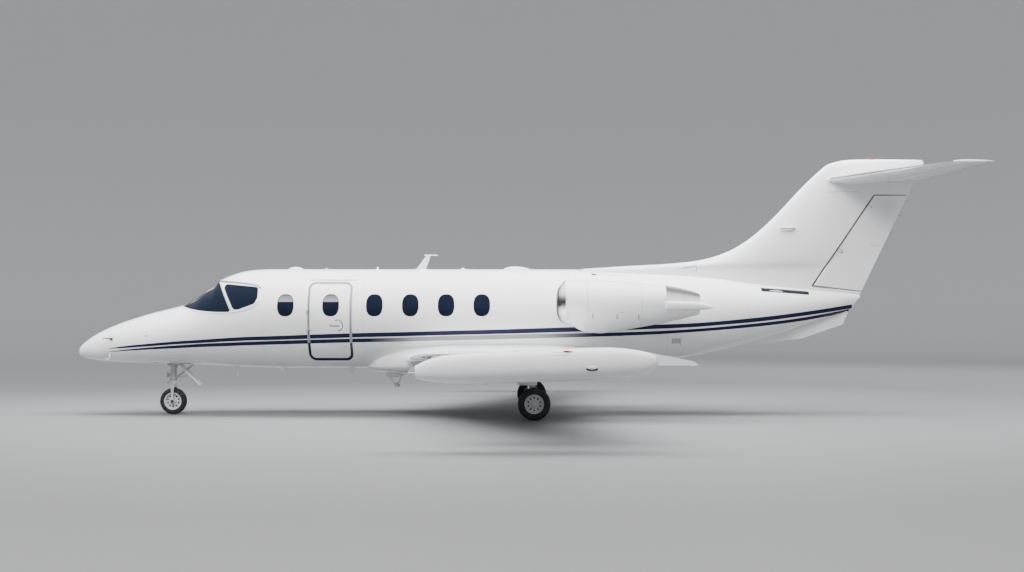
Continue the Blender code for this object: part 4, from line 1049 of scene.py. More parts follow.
def wing_point(ends, y, fraction, face):
    """A point of a wing's surface: face is 1 above, -1 below and 0 on the chord."""
    made = []
    for end in ends:
        x = fraction * end["chord"]
        z = face * half_thickness(fraction) * end["ratio"] * end["chord"]
        angle = math.radians(end["incidence"])
        c, s = math.cos(angle), math.sin(angle)
        made.append(Vector((end["x"] + x * c + z * s, end["y"], end["z"] - x * s + z * c)))
    root, tip = (end["y"] for end in ends)
    return made[0].lerp(made[1], (y - root) / (tip - root))


def wing_ring(ends, y, sign):
    steps = eased(26)
    upper = [wing_point(ends, y, f, 1) for f in steps[:-1]]
    lower = [wing_point(ends, y, f, -1) for f in steps[1:-1]]
    trail = [wing_point(ends, y, 1.0, 0) + Vector((0, 0, z)) for z in (TRAIL, -TRAIL)]
    return [(p.x, sign * y, p.z) for p in upper + trail + lower[::-1]]


def surface_ring(ends, y, sign, hinge):
    """A section of a control surface: a round nose about the hinge, and the wing's own curve behind it."""
    top, bottom = (wing_point(ends, y, hinge, face) for face in (1, -1))
    centre, radius = (top + bottom) / 2, (top - bottom).length / 2
    ring = [(centre.x + radius * c, centre.z + radius * s) for c, s in nose_arc()]
    fractions = spread_count(hinge, 1.0, 8)[1:-1]
    trail = wing_point(ends, y, 1.0, 0)
    ring += [(p.x, p.z) for p in (wing_point(ends, y, f, -1) for f in fractions)]
    ring += [(trail.x, trail.z - TRAIL), (trail.x, trail.z + TRAIL)]
    ring += [(p.x, p.z) for p in (wing_point(ends, y, f, 1) for f in fractions[::-1])]
    return [(x, sign * y, z) for x, z in ring]


def nose_arc():
    """Half a circle that bulges forward, from its top to its bottom."""
    return [(math.cos(a), math.sin(a)) for a in spread_count(math.pi / 2, math.pi * 1.5, 16)]


def slot_form(ends, span, sign, hinge):
    """What is cut from a wing to make room for a control surface."""
    rings = []
    for y in (span[0] - END_GAP, span[1] + END_GAP):
        top, bottom = (wing_point(ends, y, hinge, face) for face in (1, -1))
        front = (top.x + bottom.x) / 2 - (top - bottom).length / 2 - RUN
        corners = rectangle(front, bottom.z - 0.3, front + 2.0, top.z + 0.3)
        rings.append([(x, sign * y, z) for x, z in corners])
    return cutter(rings, "dark_metal")


def control_surface(label, side, ends, span, sign, hinge):
    """A flap, aileron or elevator, and the pins it turns on."""
    rings = [surface_ring(ends, y, sign, hinge) for y in spread(span[0], span[1], 0.4)]
    node = f"{label}_{side}"
    loft(f"{label}_skin_{side}", rings, "white_plain", node, smooth=50.0, node=node)
    pins = []
    for end, outwards in zip(span, (-1, 1)):
        points = [wing_point(ends, end + d, hinge, 0) for d in (outwards * 0.03, -outwards * 0.018)]
        pins.append([(p.x, sign * p.y, p.z) for p in points] + [0.006])
    rods(f"{label}_hinge_{side}", pins, "steel", points=16)


def build_wings(side, sign):
    rings = [wing_ring(WING, y, sign) for y in spread(0.4, WING_TIP["y"] + 0.05, 0.35)]
    wing = loft("wing_skin_" + side, rings, "white_plain", node="wing_" + side)
    carve(wing, *[slot_form(WING, span, sign, WING_HINGE) for span in (FLAP_Y, AILERON_Y)], smooth=35.0)
    for label, span in (("flap", FLAP_Y), ("aileron", AILERON_Y)):
        control_surface(label, side, WING, span, sign, WING_HINGE)


def tank_rings(sign, start=TANK[0][0], end=TANK[-1][0], inset=0.0):
    rings = []
    for x, middle, radius in Curve(TANK).rows_between(start, end, 0.06):
        outline = superellipse((sign * TANK_Y, middle), radius - inset, radius - inset, 2.0, 64)
        rings.append([(x, y, z) for y, z in outline])
    return rings


def lens_edge(y):
    """The line on which the clear cover stands: back on one side, round the tip, back on the other."""
    near, far = [], []
    for ring in tank_rings(math.copysign(1, y), end=TANK_LENS_X, inset=0.003):
        wide = max((abs(p[1] - y) for p in ring if abs(p[2] - TANK_LENS_Z) < 0.02), default=0.0)
        if wide > 0.0:
            near.append((ring[0][0], y - wide, TANK_LENS_Z + 0.004))
            far.append((ring[0][0], y + wide, TANK_LENS_Z + 0.004))
    return near[::-1] + far


def build_tanks(side, sign):
    y = sign * TANK_Y
    fin = [[(x, y + way * (0.025 if x < 1.9 else 0.012), z) for x, z in TANK_FIN] for way in (-1, 1)]
    rings = tank_rings(sign, TANK_LENS_X)
    tank = loft("tip_tank_skin_" + side, rings, "white_plain", node="tip_tank_" + side)
    carve(tank, joined=cutter(fin, "white_plain"), smooth=35.0)
    lens = loft("tank_lens_" + side, tank_rings(sign, end=TANK_LENS_X, inset=0.001), "lens")
    below = box("cutter", (-1.4, y - 0.3, 0.8), (TANK_LENS_X + 0.01, y + 0.3, TANK_LENS_Z), "lens", None)
    carve(lens, below, cutter(tank_rings(sign, -1.24, TANK_LENS_X + 0.02, 0.006), "lens"))

    def lamp_part(name, material, *marks):
        parts = [((a, y, 0.994), (b, y, 0.994), *radii) for a, b, *radii in marks]
        rods(name + side, parts, material, points=32)

    # A near-black bowl round the lamp: its dark colour is painted shadow inside the tank's nose.
    lamp_part("tank_lamp_shadow_bowl_", "trim", (-1.206, -1.171, 0.026, 0.03))
    lamp_part("tank_lamp_", "clear_lamp", (-1.2075, -1.2055, 0.02, 0.022), (-1.212, -1.2075, 0.006))
    rim = lens_edge(y)
    tube_along("tank_lens_rim_" + side, rim, [0.0055] * len(rim), "strip_white", around=10)
    shelf = [(-1.24, y - 0.03), (TANK_LENS_X, y - 0.072), (TANK_LENS_X, y + 0.072), (-1.24, y + 0.03)]
    loft("tank_lamp_shelf_" + side, prism(shelf, TANK_LENS_Z + 0.001, TANK_LENS_Z + 0.004, "Z"), "polished")


def fin_trail_x(z):
    (x0, z0), (x1, z1) = FIN_TRAIL
    return x0 + (x1 - x0) * (z - z0) / (z1 - z0)


def fin_section(z, lead, trail, thickness):
    chord = trail - lead
    left = [(lead + f * chord, -thickness * half_thickness(f), z) for f in eased(26)[:-1]]
    right = [(x, -y, z) for x, y, z in left[:0:-1]]
    return left + [(lead + chord, -TRAIL, z), (lead + chord, TRAIL, z)] + right


def build_fin():
    curve = Curve(FIN)
    places = [2.0, 2.2, 2.36] + spread(2.452, 2.61, 0.012) + curve.stations(2.62, 4.0, 0.05)
    rings = [fin_section(z, lead, fin_trail_x(z), thickness) for z, lead, thickness in map(curve.at, places)]
    fin = loft("fin_skin", rings, "white_plain", node="vertical_fin")
    (x0, z0), (x1, z1) = RUDDER_HINGE
    radius = []
    for x, z in RUDDER_HINGE:
        _, lead, thickness = curve.at(z)
        radius.append(thickness * half_thickness((x - lead) / (fin_trail_x(z) - lead)))
    lean = RUDDER_SLOT * (x1 - x0) / (z1 - z0)
    slot = (
        (x0 - radius[0] - RUN - lean, z0 - RUDDER_SLOT),
        (x1 - radius[1] - RUN + lean, z1 + RUDDER_SLOT),
        (7.4, z1 + RUDDER_SLOT),
        (7.4, RUDDER_HEEL_Z - RUDDER_SLOT - 0.08),
        (fin_trail_x(RUDDER_HEEL_Z), RUDDER_HEEL_Z - RUDDER_SLOT),
    )
    carve(fin, cutter(prism(slot, -0.4, 0.4), "dark_metal"), smooth=35.0)
    rings = []
    for t in spread(0.0, 1.0, 0.1):
        x, z = x0 + (x1 - x0) * t, z0 + (z1 - z0) * t
        trail_z = RUDDER_HEEL_Z + (z1 - RUDDER_HEEL_Z) * t
        trail = fin_trail_x(trail_z)
        r = radius[0] + (radius[1] - radius[0]) * t
        ring = [(x + r * c, r * s, z) for c, s in nose_arc()]
        back = [(x + (trail - x) * s, r + (TRAIL - r) * s, z + (trail_z - z) * s)
                for s in spread_count(0.0, 1.0, 8)[1:]]
        rings.append(ring + [(a, -half, b) for a, half, b in back] + back[::-1])
    loft("rudder_skin", rings, "white_plain", "rudder", smooth=50.0, node="rudder")
    places = spread(CAP[0][0], 4.289, 0.03) + [4.305, 4.318, 4.325]
    loft("fin_cap_skin", [fin_section(*Curve(CAP).at(z)) for z in places], "white_plain", node="fin_cap")
    half = VENTRAL_THICKNESS / 2
    loft("ventral_skin", prism(VENTRAL, -half, half), "white_plain", node="ventral_fin")


def build_tailplane():
    tip = TAILPLANE_TIP["y"]
    rings = [wing_ring(TAIL, abs(y), math.copysign(1, y)) for y in spread(-tip, tip, 0.25)]
    plane = loft("tailplane_skin", rings, "white_plain", node="tailplane")
    carve(plane, *[slot_form(TAIL, ELEVATOR_Y, sign, ELEVATOR_HINGE) for sign in SIDES.values()], smooth=35.0)
    for side, sign in SIDES.items():
        control_surface("elevator", side, TAIL, ELEVATOR_Y, sign, ELEVATOR_HINGE)


# Engines

def oval_ring(x, y, z, half_width, half_height, points=72):
    return [(x, a, b) for a, b in superellipse((y, z), half_width, half_height, 2.0, points)]


def round_rings(y, z, rows, points=72):
    """Rings about a line along X, from rows of x and radius."""
    return [oval_ring(x, y, z, r, r, points) for x, r in rows]


def cowl_rings(y, start, end, step, inset=0.0):
    rings = []
    for x, top, bottom, half_width in Curve(NACELLE).rows_between(start, end, step):
        rings.append(oval_ring(x, y, (top + bottom) / 2, half_width - inset, (top - bottom) / 2 - inset))
    return rings


def build_lip(side, y):
    """The lip turns in from the cowl to the duct round a rounded front edge, and its front edge is bowed."""
    x, top, bottom, half_width = NACELLE[1]
    front = []
    for angle in spread_count(0.0, math.pi, 12)[1:-1]:
        share = 0.5 * (1 - math.cos(angle))
        middle = (top + bottom) / 2 * (1 - share) + ENGINE_Z * share
        wide = half_width * (1 - share) + 0.292 * share
        tall = (top - bottom) / 2 * (1 - share) + 0.29 * share
        front.append(oval_ring(x - 0.02 * math.sin(angle), y, middle, wide, tall))
    inner = ((x, 0.2905), (0.8, 0.287), (0.83, 0.281), (0.865, 0.277), (LIP_END_X, DUCT_RADIUS))
    rings = cowl_rings(y, x, LIP_END_X, 0.012)[::-1] + front + round_rings(y, ENGINE_Z, inner)

    def bowed(a, b, c):
        rise = min(1.0, abs(c - ENGINE_Z) / LIP_HALF)
        return (a + LIP_BOW * rise ** 4 * (LIP_END_X - a) / (LIP_END_X - LIP_START_X), b, c)

    loft("intake_lip_" + side, [[bowed(*p) for p in ring] for ring in rings], "lip_metal", around=True)


def build_cowls(side, y):
    marks = (LIP_END_X, *COWL_SEAMS_X, NACELLE[-1][0])
    for k, (start, end) in enumerate(zip(marks, marks[1:]), 1):
        start, end = start + (0.0005 if k == 1 else COWL_GAP), end - COWL_GAP
        edges = cowl_rings(y, start, end, 1.0, 0.002)
        back = cowl_rings(y, start, end, 0.2, 0.018)[::-1]
        rings = [edges[0], *cowl_rings(y, start, end, 0.06), edges[-1], *back]
        loft(f"cowl_{side}_{k}", rings, "white_plain", around=True, smooth=50.0,
             node="nacelle_" + side if k == 1 else None)
    liner = ((LIP_END_X, DUCT_RADIUS), (1.05, DUCT_RADIUS), (1.12, 0.272), (2.25, 0.272), (2.486, 0.284),
             (2.486, 0.29), (LIP_END_X, 0.29))
    loft("duct_liner_" + side, round_rings(y, ENGINE_Z, liner), "grey", around=True)
    for way, label in ((-1, "inner"), (1, "outer")):
        rows = Curve(SPIKE).rows_between(SPIKE[0][0], SPIKE[-1][0], 0.04)
        rings = [oval_ring(x, y + way * away, level, wide, tall, 32) for x, away, wide, tall, level in rows]
        loft(f"spike_{label}_{side}", rings, "white_plain")


def blade_rings(y, turn):
    """A thin fan blade that twists from its root to its tip."""
    rings = []
    for t in spread_count(0.0, 1.0, 6):
        r = FAN_HUB - 0.004 + (FAN_RADIUS - FAN_HUB) * t
        twist = math.radians(30 + 32 * t)
        chord = 0.062 + 0.02 * t
        ring = []
        for way, shares in ((1, spread_count(0.0, 1.0, 5)), (-1, spread_count(1.0, 0.0, 5))):
            for f in shares:
                crown = 1 - (2 * f - 1) ** 2
                a, b = (f - 0.5) * chord, (0.1 * chord + way * (0.0045 - 0.003 * t)) * crown
                x = a * math.cos(twist) - b * math.sin(twist)
                angle = turn + (a * math.sin(twist) + b * math.cos(twist)) / r
                ring.append((sum(FAN_X) / 2 + x, y + r * math.cos(angle), ENGINE_Z + r * math.sin(angle)))
        rings.append(ring)
    return rings


def vanes(name, y, z, count, start, x, reach, half, shift, lean, material):
    """Flat plates that stand out from a middle line like spokes."""
    bm = bmesh.new()
    for k in range(count):
        c, s = circle(k + start, count)
        across = Vector((0.0, -s, c))
        a, b = (Vector((x, y + r * c, z + r * s)) for r in reach)
        ring = [a - across * half, b - across * half, b + across * half, a + across * half]
        move = Vector((shift, 0.0, 0.0)) + across * lean
        add_loft(bm, [ring, [p + move for p in ring]])
    new_object(name, bm, material)


def build_fan(side, y):
    bm = bmesh.new()
    for k in range(FAN_BLADES):
        add_loft(bm, blade_rings(y, math.tau * k / FAN_BLADES))
    new_object("fan_blades_" + side, bm, "fan", "fan_" + side, node="fan_" + side)
    spinner = ((1.055, 0.06), (1.055, 0.084), (1.0, 0.085), (0.985, 0.083), (0.96, 0.074), (0.93, 0.059),
               (0.905, 0.041), (0.89, 0.024), (0.882, 0.01), (0.88, 0.002))
    loft("fan_spinner_" + side, round_rings(y, ENGINE_Z, spinner, 48), "dark_metal", "fan_" + side)
    vanes("stator_vanes_" + side, y, ENGINE_Z, 30, 0.0, 1.085, (0.1, 0.268), 0.0015, 0.035, 0.012, "fan")


def nozzle_radius(x, ends):
    t = (x - NOZZLE_X[0]) / (NOZZLE_X[1] - NOZZLE_X[0])
    return ends[0] + (ends[1] - ends[0]) * t + 0.01 * math.sin(math.pi * t)


def build_exhaust(side, y):
    parts = (("front", NOZZLE_X[0], NOZZLE_SEAM_X - COWL_GAP),
             ("rear", NOZZLE_SEAM_X + COWL_GAP, NOZZLE_X[1]))
    for label, start, end in parts:
        xs = spread(start, end, 0.05)
        rows = [(x, nozzle_radius(x, NOZZLE_OUTER)) for x in xs]
        rows += [(x, nozzle_radius(x, NOZZLE_INNER)) for x in xs[::-1]]
        loft(f"nozzle_{label}_{side}", round_rings(y, NOZZLE_Z, rows), "nozzle", around=True, smooth=50.0,
             node="exhaust_" + side if label == "front" else None)
    sleeve = ((2.52, 0.258), (2.98, 0.154), (2.98, 0.15), (2.52, 0.254))
    loft("nozzle_sleeve_" + side, round_rings(y, NOZZLE_Z, sleeve), "dark_metal", around=True)
    cone = [(2.252 + 0.56 * t, 0.105 * math.cos(t * math.pi / 2) + 0.003) for t in spread(0.0, 1.0, 0.08)]
    loft("tail_cone_plug_" + side, round_rings(y, NOZZLE_Z, cone, 40), "dark_metal")
    vanes("nozzle_struts_" + side, y, NOZZLE_Z, 8, 0.5, 2.3, (0.09, 0.262), 0.004, 0.1, 0.0, "dark_metal")


def build_pylon(side, sign):
    rings = []
    for reach in (0.66, 0.8, 0.92, 1.02):
        thickness = PYLON_THICKNESS * (1.0 + 0.25 * max(0.0, (0.86 - reach) / 0.2))
        upper = []
        for f in eased(26)[:-1]:
            x = PYLON_X[0] + f * (PYLON_X[1] - PYLON_X[0])
            upper.append((x, sign * reach, ENGINE_Z + thickness * half_thickness(f)))
        lower = [(x, a, 2 * ENGINE_Z - z) for x, a, z in upper[:0:-1]]
        back = [(PYLON_X[1], sign * reach, ENGINE_Z + rise) for rise in (0.004, -0.004)]
        rings.append(upper + back + lower)
    loft("pylon_skin_" + side, rings, "white_plain", node="pylon_" + side)


def build_engine(side, sign):
    y = sign * ENGINE_Y
    build_lip(side, y)
    build_cowls(side, y)
    build_fan(side, y)
    build_exhaust(side, y)
    build_pylon(side, sign)
    repaint(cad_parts["engine_" + side], "dark_metal")


# Landing gear

def turned(name, profile, centre, material, body, points=48, smooth=40.0, node=None):
    """A ring turned about an axis along Y, from a closed outline of radius and y."""
    rings = []
    for c, s in (circle(k, points) for k in range(points)):
        rings.append([(centre[0] + r * c, centre[1] + y, centre[2] + r * s) for r, y in profile])
    return loft(name, rings, material, body, True, smooth, node)


def axle_height(tyre):
    return tyre["radius"] * math.cos(math.pi / CAD_WHEEL_POINTS)


def mirrored(rows, half):
    """A profile from its rows of radius and width share, there and back on the other side."""
    return [(a, b * half) for a, b in rows] + [(a, -b * half) for a, b in rows[::-1]]


def tyre_profile(tyre):
    """The tyre's outline, with two grooves round the tread."""
    r, half, rim = axle_height(tyre), tyre["width"] / 2, tyre["rim"]
    rows = [(rim - 0.009, -0.84), (rim + 0.01, -0.95), (rim + 0.03, -1.0), (r - 0.032, -0.98),
            (r - 0.014, -0.88), (r - 0.003, -0.66)]
    rows += [(r - depth, -0.26 + offset)
             for offset, depth in ((-0.055, 0.0), (-0.04, 0.006), (0.04, 0.006), (0.055, 0.0))]
    return mirrored(rows, half)


def wheel_profile(tyre):
    """The wheel's section: a hub, a dished web and the rim with its two flanges."""
    rim = tyre["rim"]
    rows = [(AXLE + 0.0006, 0.8), (0.034, 0.8), (0.04, 0.76), (0.046, 0.56), (0.06, 0.5), (0.07, 0.46),
            (0.074, 0.34)]
    rows += [(rim + out, share) for out, share in (
        (-0.034, 0.34), (-0.028, 0.48), (-0.024, 0.7), (-0.02, 0.82), (-0.012, 0.86), (-0.004, 0.88),
        (0.003, 0.87), (0.004, 0.8), (-0.006, 0.74), (-0.012, 0.6))]
    return mirrored(rows, tyre["width"] / 2)


def build_wheel(label, side, centre, tyre, hole_radius, ring):
    """A wheel with ten holes and ten bolts, and its tyre. It rides on the wheel's body."""
    body = label + "_wheel" + side
    width = tyre["width"]
    name = label + side
    turned(name + "_tyre_rubber", tyre_profile(tyre), centre, "rubber", body, 48, 35.0,
           label + "_tyre" + side)
    wheel = turned(name + "_wheel_disc", wheel_profile(tyre), centre, "wheel_paint", body, 72, node=body)
    drill, bolts = bmesh.new(), bmesh.new()
    x, y, z = centre
    for k in range(WHEEL_HOLES):
        c, s = circle(k + 0.5, WHEEL_HOLES)
        a, b = x + ring * c, z + ring * s
        add_rod(drill, (a, y - 0.2, b), (a, y + 0.2, b), hole_radius, None, 20)
    # The hole walls keep the cutter's near-black: painted shade inside the holes.
    carve(wheel, new_object("cutter", drill, "dark", None), smooth=35.0)
    for sign in (-1, 1):
        start = y + sign * width * 0.24
        for k in range(WHEEL_HOLES):
            c, s = circle(k, WHEEL_HOLES)
            a, b = x + 0.058 * c, z + 0.058 * s
            add_rod(bolts, (a, start, b), (a, start + sign * 0.01, b), 0.0045, None, 6)
    new_object(name + "_hub_bolts", bolts, "steel", body)
    # A near-black ring behind the holes: painted shade seen through them.
    deep = width * 0.13
    core = [(0.078, -deep), (0.078, deep), (ring + 0.018, deep), (ring + 0.018, -deep)]
    turned(name + "_wheel_core_painted_shade", core, centre, "dark", body)


def plate(name, y, outline, thickness, material, body="airframe", bevel=0.003):
    """A flat plate with rounded edges, from its outline in X and Z."""
    piece = loft(name, prism(outline, y - thickness / 2, y + thickness / 2), material, body)
    step = piece.modifiers.new("edge", "BEVEL")
    step.width = bevel
    step.segments = 2


def gear_rods(name, origin, parts, material="gear_white_in_painted_shade", body="airframe", points=20, node=None):
    """Rods given by their ends and radii, each end from a point in the plane of the leg."""
    x, y = origin
    made = [((x + a[0], y + a[1], a[2]), (x + b[0], y + b[1], b[2]), *radii) for a, b, *radii in parts]
    rods(name, made, material, body, points, node)


def build_nose_gear():
    leg = (NOSE_GEAR_X, 0.0)
    x, z = NOSE_GEAR_X, axle_height(NOSE_TYRE)
    build_wheel("nose", "", (x, 0.0, z), NOSE_TYRE, 0.015, 0.0945)
    gear_rods("nose_leg_strut", leg, [
        ((0, 0, 0.56), (0, 0, 0.9), 0.052), ((0, 0, 0.6), (0, 0, 0.635), 0.066),
        ((0, 0, 0.8), (0, 0, 0.89), 0.072), ((-0.1, 0, 0.845), (0.1, 0, 0.845), 0.018)],
        points=36, node="nose_leg")
    gear_rods("nose_leg_piston", leg, [((0, 0, 0.515), (0, 0, 0.575), 0.036)], "chrome", points=36)
    gear_rods("nose_drag_brace", leg, [
        ((0.035, -0.035, 0.62), (0.33, -0.035, 0.835), 0.013),
        ((0.035, 0.035, 0.62), (0.33, 0.035, 0.835), 0.013),
        ((0.028, -0.05, 0.617), (0.028, 0.05, 0.617), 0.011)])
    gear_rods("taxi_lamp_body", leg, [
        ((-0.075, 0, 0.665), (-0.11, 0, 0.665), 0.03, 0.048),
        ((-0.05, 0, 0.665), (-0.075, 0, 0.665), 0.012)], points=32)
    gear_rods("taxi_lamp_glass", leg, [((-0.11, 0, 0.665), (-0.116, 0, 0.665), 0.045, 0.04)], "clear_lamp",
              points=32)
    gear_rods("nose_fork_head", leg, [
        ((0, 0, 0.474), (0, 0, 0.517), 0.05), ((0, 0, 0.462), (0, 0, 0.48), 0.058)],
        body="nose_fork", points=36, node="nose_fork")

    def across(name, half_outline, y, thickness, material, bevel):
        """A plate that is the same in front of the leg and behind it."""
        outline = [(x - a, b) for a, b in half_outline] + [(x + a, b) for a, b in half_outline[::-1]]
        plate(name, y, outline, thickness, material, "nose_fork", bevel)

    for side, sign in SIDES.items():
        blade_half = [(0.022, 0.345), (0.026, 0.42), (0.046, 0.498)]
        across("nose_fork_blade_" + side, blade_half, sign * 0.098, 0.018, "gear_white_in_painted_shade", 0.004)
        tip_half = [(0.014, z - 0.026), (0.024, z), (0.014, z + 0.04), (0.018, 0.35)]
        across("nose_fork_tip_" + side, tip_half, sign * 0.098, 0.014, "wheel_paint", 0.003)
        nut = sign * 0.107
        gear_rods("nose_axle_nut_" + side, leg, [
            ((0, nut, z), (0, sign * 0.114, z), 0.021), ((0, nut, z), (0, sign * 0.11, z), 0.027)],
            "dark_metal", "nose_fork", 24)
    across("nose_fork_bridge", [(0.044, 0.472), (0.046, 0.497)], 0.0, 0.204, "gear_white_in_painted_shade", 0.004)
    bar = ((0, -0.108, z), (0, 0.108, z), AXLE - 0.0004)
    gear_rods("nose_axle_bar", leg, [bar], "steel", "nose_fork", 32)
    knee = (-0.105, 0, 0.535)
    gear_rods("nose_torque_links", leg, [
        ((-0.048, 0, 0.6), knee, 0.011), (knee, (-0.045, 0, 0.49), 0.011),
        ((-0.105, -0.03, 0.535), (-0.105, 0.03, 0.535), 0.009)], body="nose_fork", points=16)
    hung = Matrix.Translation((-5.625, 0.0, 0.88)) @ Matrix.Rotation(math.radians(43), 4, "Y")
    box("nose_gear_door_skin", (0.0, -0.148, -0.01), (0.555, 0.148, 0.01), "white_plain", bevel=0.004,
        node="nose_gear_door", matrix=hung)
    gear_rods("nose_door_rods", leg, [
        ((0.05, y, 0.63), (-5.37 - x, y, 0.66), 0.007) for y in (-0.05, 0.05)], "steel", points=12)
    # The nose gear well is a near-black sheet under the skin: painted shade of the open well.
    well = resample(rounded(rectangle(-6.02, -0.16, -5.36, 0.16), 0.03), 0.04)
    rings = [[(a, b, bottom_z(a, b) - lift) for a, b in well] for lift in (0.0015, -0.01)]
    loft("nose_gear_well_painted_shade", rings, "dark")


def build_main_gear(side, sign):
    x, z = MAIN_GEAR_X, axle_height(MAIN_TYRE)
    y, leg_y = sign * MAIN_WHEEL_Y, sign * MAIN_LEG_Y
    leg, strut = (x, leg_y), (x - 0.04, leg_y)
    build_wheel("main", "_" + side, (x, y, z), MAIN_TYRE, 0.0145, 0.099)
    gear_rods("main_leg_strut_" + side, strut, [
        ((0, 0, 0.42), (0, 0, 0.93), 0.048), ((0, 0, 0.42), (0, 0, 0.46), 0.057),
        ((0, 0, 0.5), (0, sign * 0.96 - leg_y, 0.9), 0.024), ((0, 0, 0.52), (0.21, 0, 0.9), 0.018)],
        points=32, node="main_leg_" + side)
    gear_rods("main_leg_piston_" + side, strut, [((0, 0, 0.3), (0, 0, 0.43), 0.034)], "chrome", points=32)
    knee = [(x - 0.09, z - 0.045), (x + 0.03, z - 0.045), (x + 0.038, z), (x + 0.03, z + 0.045),
            (x - 0.005, 0.35), (x - 0.08, 0.35), (x - 0.092, 0.3)]
    plate("main_knee_" + side, leg_y, knee, 0.078, "gear_white_in_painted_shade", bevel=0.008)
    axle = (x, y)
    end = sign * 0.0745
    gear_rods("main_axle_bar_" + side, axle, [
        ((0, leg_y - y, z), (0, sign * 0.074, z), AXLE - 0.0004)], "steel", points=32)
    gear_rods("main_axle_cap_" + side, axle, [((0, end, z), (0, sign * 0.084, z), 0.03, 0.026)], "steel",
              "main_wheel_" + side, 32)
    low, high = sorted((leg_y + sign * 0.042, y - sign * 0.078))
    brake = [(0.03, low), (0.03, high), (0.098, high), (0.104, (low + high) / 2), (0.098, low)]
    turned("main_brake_" + side, brake, (x, 0.0, z), "dark_metal", "airframe")
    bend = (0.1, 0, 0.37)
    gear_rods("main_torque_links_" + side, leg, [
        ((0.008, 0, 0.44), bend, 0.012), (bend, (0.02, 0, 0.3), 0.012),
        ((0.1, -0.03, 0.37), (0.1, 0.03, 0.37), 0.01)], points=16)
    box("main_gear_door_skin_" + side, (x - 0.268, sign * 1.3555, 0.557), (x + 0.048, sign * 1.3695, 0.89),
        "white_plain", bevel=0.004, node="main_gear_door_" + side)
    door = sign * 1.357 - leg_y
    links = [((0, 0, 0.68), (0, door, 0.68), 0.013), ((0, 0, 0.6), (-0.12, door, 0.62), 0.007)]
    gear_rods("main_door_rods_" + side, strut, links, "steel", points=16)


# Small outside parts

def pod(name, rows, material, points=28):
    """A streamlined body from rows of x, y, z, half width and half height."""
    return loft(name, [oval_ring(*row, points) for row in rows], material)


def swell(name, start, end, y, z, half_width, half_height, material, front=0.35):
    """A teardrop between two stations, fullest a given share of the way back."""
    rows = []
    for t in eased(16):
        fall = max(0.0, math.cos(math.pi / 2 * (t - front) / (1 - front)))
        shape = max(0.03, arch((front - t) / front) if t < front else fall ** 0.8)
        x = start + (end - start) * t
        rows.append((x, y, z(x) if callable(z) else z, half_width * shape, half_height * shape))
    return pod(name, rows, material)


def bulge(place, start, length, count, shape, wide, tall):
    """Rows of a low body on a surface. Shape gives its size at each share of its length."""
    rows = []
    for t in spread_count(0.0, 1.0, count):
        x, y, z = place(start + length * t)
        rows.append((x, y, z, wide * shape(t), tall * shape(t)))
    return rows


def blade(name, root, tip, thickness, y, material="white_plain", node=None):
    """A blade with an aerofoil section between two edges: x at the front, x at the back, z."""
    rings = []
    for t in (0.0, 0.25, 0.5, 0.75, 0.95, 1.0):
        front, back, z = (a + (b - a) * t for a, b in zip(root, tip))
        wide = thickness * (1.0 - 0.45 * t) * (0.55 if t == 1.0 else 1.0)
        left = [(front + f * (back - front), y - wide * half_thickness(f), z) for f in eased(10)[:-1]]
        right = [(x, 2 * y - a, b) for x, a, b in left[:0:-1]]
        rings.append(left + [(back, y - 0.0006, z), (back, y + 0.0006, z)] + right)
    return loft(name, rings, material, node=node)


def disc(name, x, z, radius, place, lift, material, body="airframe", depth=0.002, points=20):
    patch(name, superellipse((x, z), radius, radius, 2.0, points), place, lift, material, body, depth)


def build_cockpit_frame(side, sign):
    outline = resample(rounded(COCKPIT_WINDOW, COCKPIT_CORNER), 0.03)
    skin_rail("side_window_frame_" + side, outline, 0.004, 0.024, sign, 0.007, "white_plain")
    skin_rail("side_window_seal_" + side, outline, -0.003, 0.0035, sign, 0.003, "ledge")
    for name, width, material, lift, path in (
            ("windshield_sill_", 0.02, "white_plain", 0.008,
             [(-5.53, 1.828), (-5.33, 1.77), (-5.1, 1.735), (-4.87, 1.719), (-4.64, 1.718)]),
            ("windshield_rear_frame_", 0.016, "strip", 0.006,
             [(-4.6, 1.738), (-4.596, 1.76), (-4.712, 1.99), (-4.802, 2.15), (-4.865, 2.24)]),
            ("window_sill_", 0.014, "white_plain", 0.01,
             [(-4.64, 1.716), (-4.56, 1.728), (-4.47, 1.742), (-4.33, 1.782), (-4.185, 1.838),
              (-4.115, 1.93)]),
            ("drip_ledge_", 0.016, "ledge", 0.014,
             [(-4.895, 2.268), (-4.82, 2.242), (-4.74, 2.236), (-4.56, 2.222), (-4.36, 2.2), (-4.18, 2.172),
              (-4.1, 2.12)])):
        path_strip(name + side, along_path(path, 0.03), width, sign, material, lift=lift)

    def on_glass(x, y, lift):
        return Vector((x, sign * y, top_z(x, y) + lift))

    foot, elbow = on_glass(-5.47, 0.3, 0.006), on_glass(-5.3, 0.16, 0.012)
    bend = (foot + elbow) / 2 + Vector((0, 0, 0.008))
    tube_along("wiper_arm_" + side, [foot, bend, elbow], [0.007, 0.006, 0.004], "seal", around=10)
    blade_line = [on_glass(-5.43, 0.1, 0.008), elbow, on_glass(-5.13, 0.075, 0.012)]
    tube_along("wiper_blade_" + side, blade_line, [0.004, 0.006, 0.004], "seal", around=8)


def build_centre_post():
    section = ((-0.02, -0.014), (0.02, -0.014), (0.02, 0.004),
               (0.008, 0.009), (-0.008, 0.009), (-0.02, 0.004))
    rings = [[(x, a, BODY.at(x)[1] + b) for a, b in section] for x in spread(-5.44, -4.93, 0.05)]
    loft("centre_post_cover", rings, "white_plain")


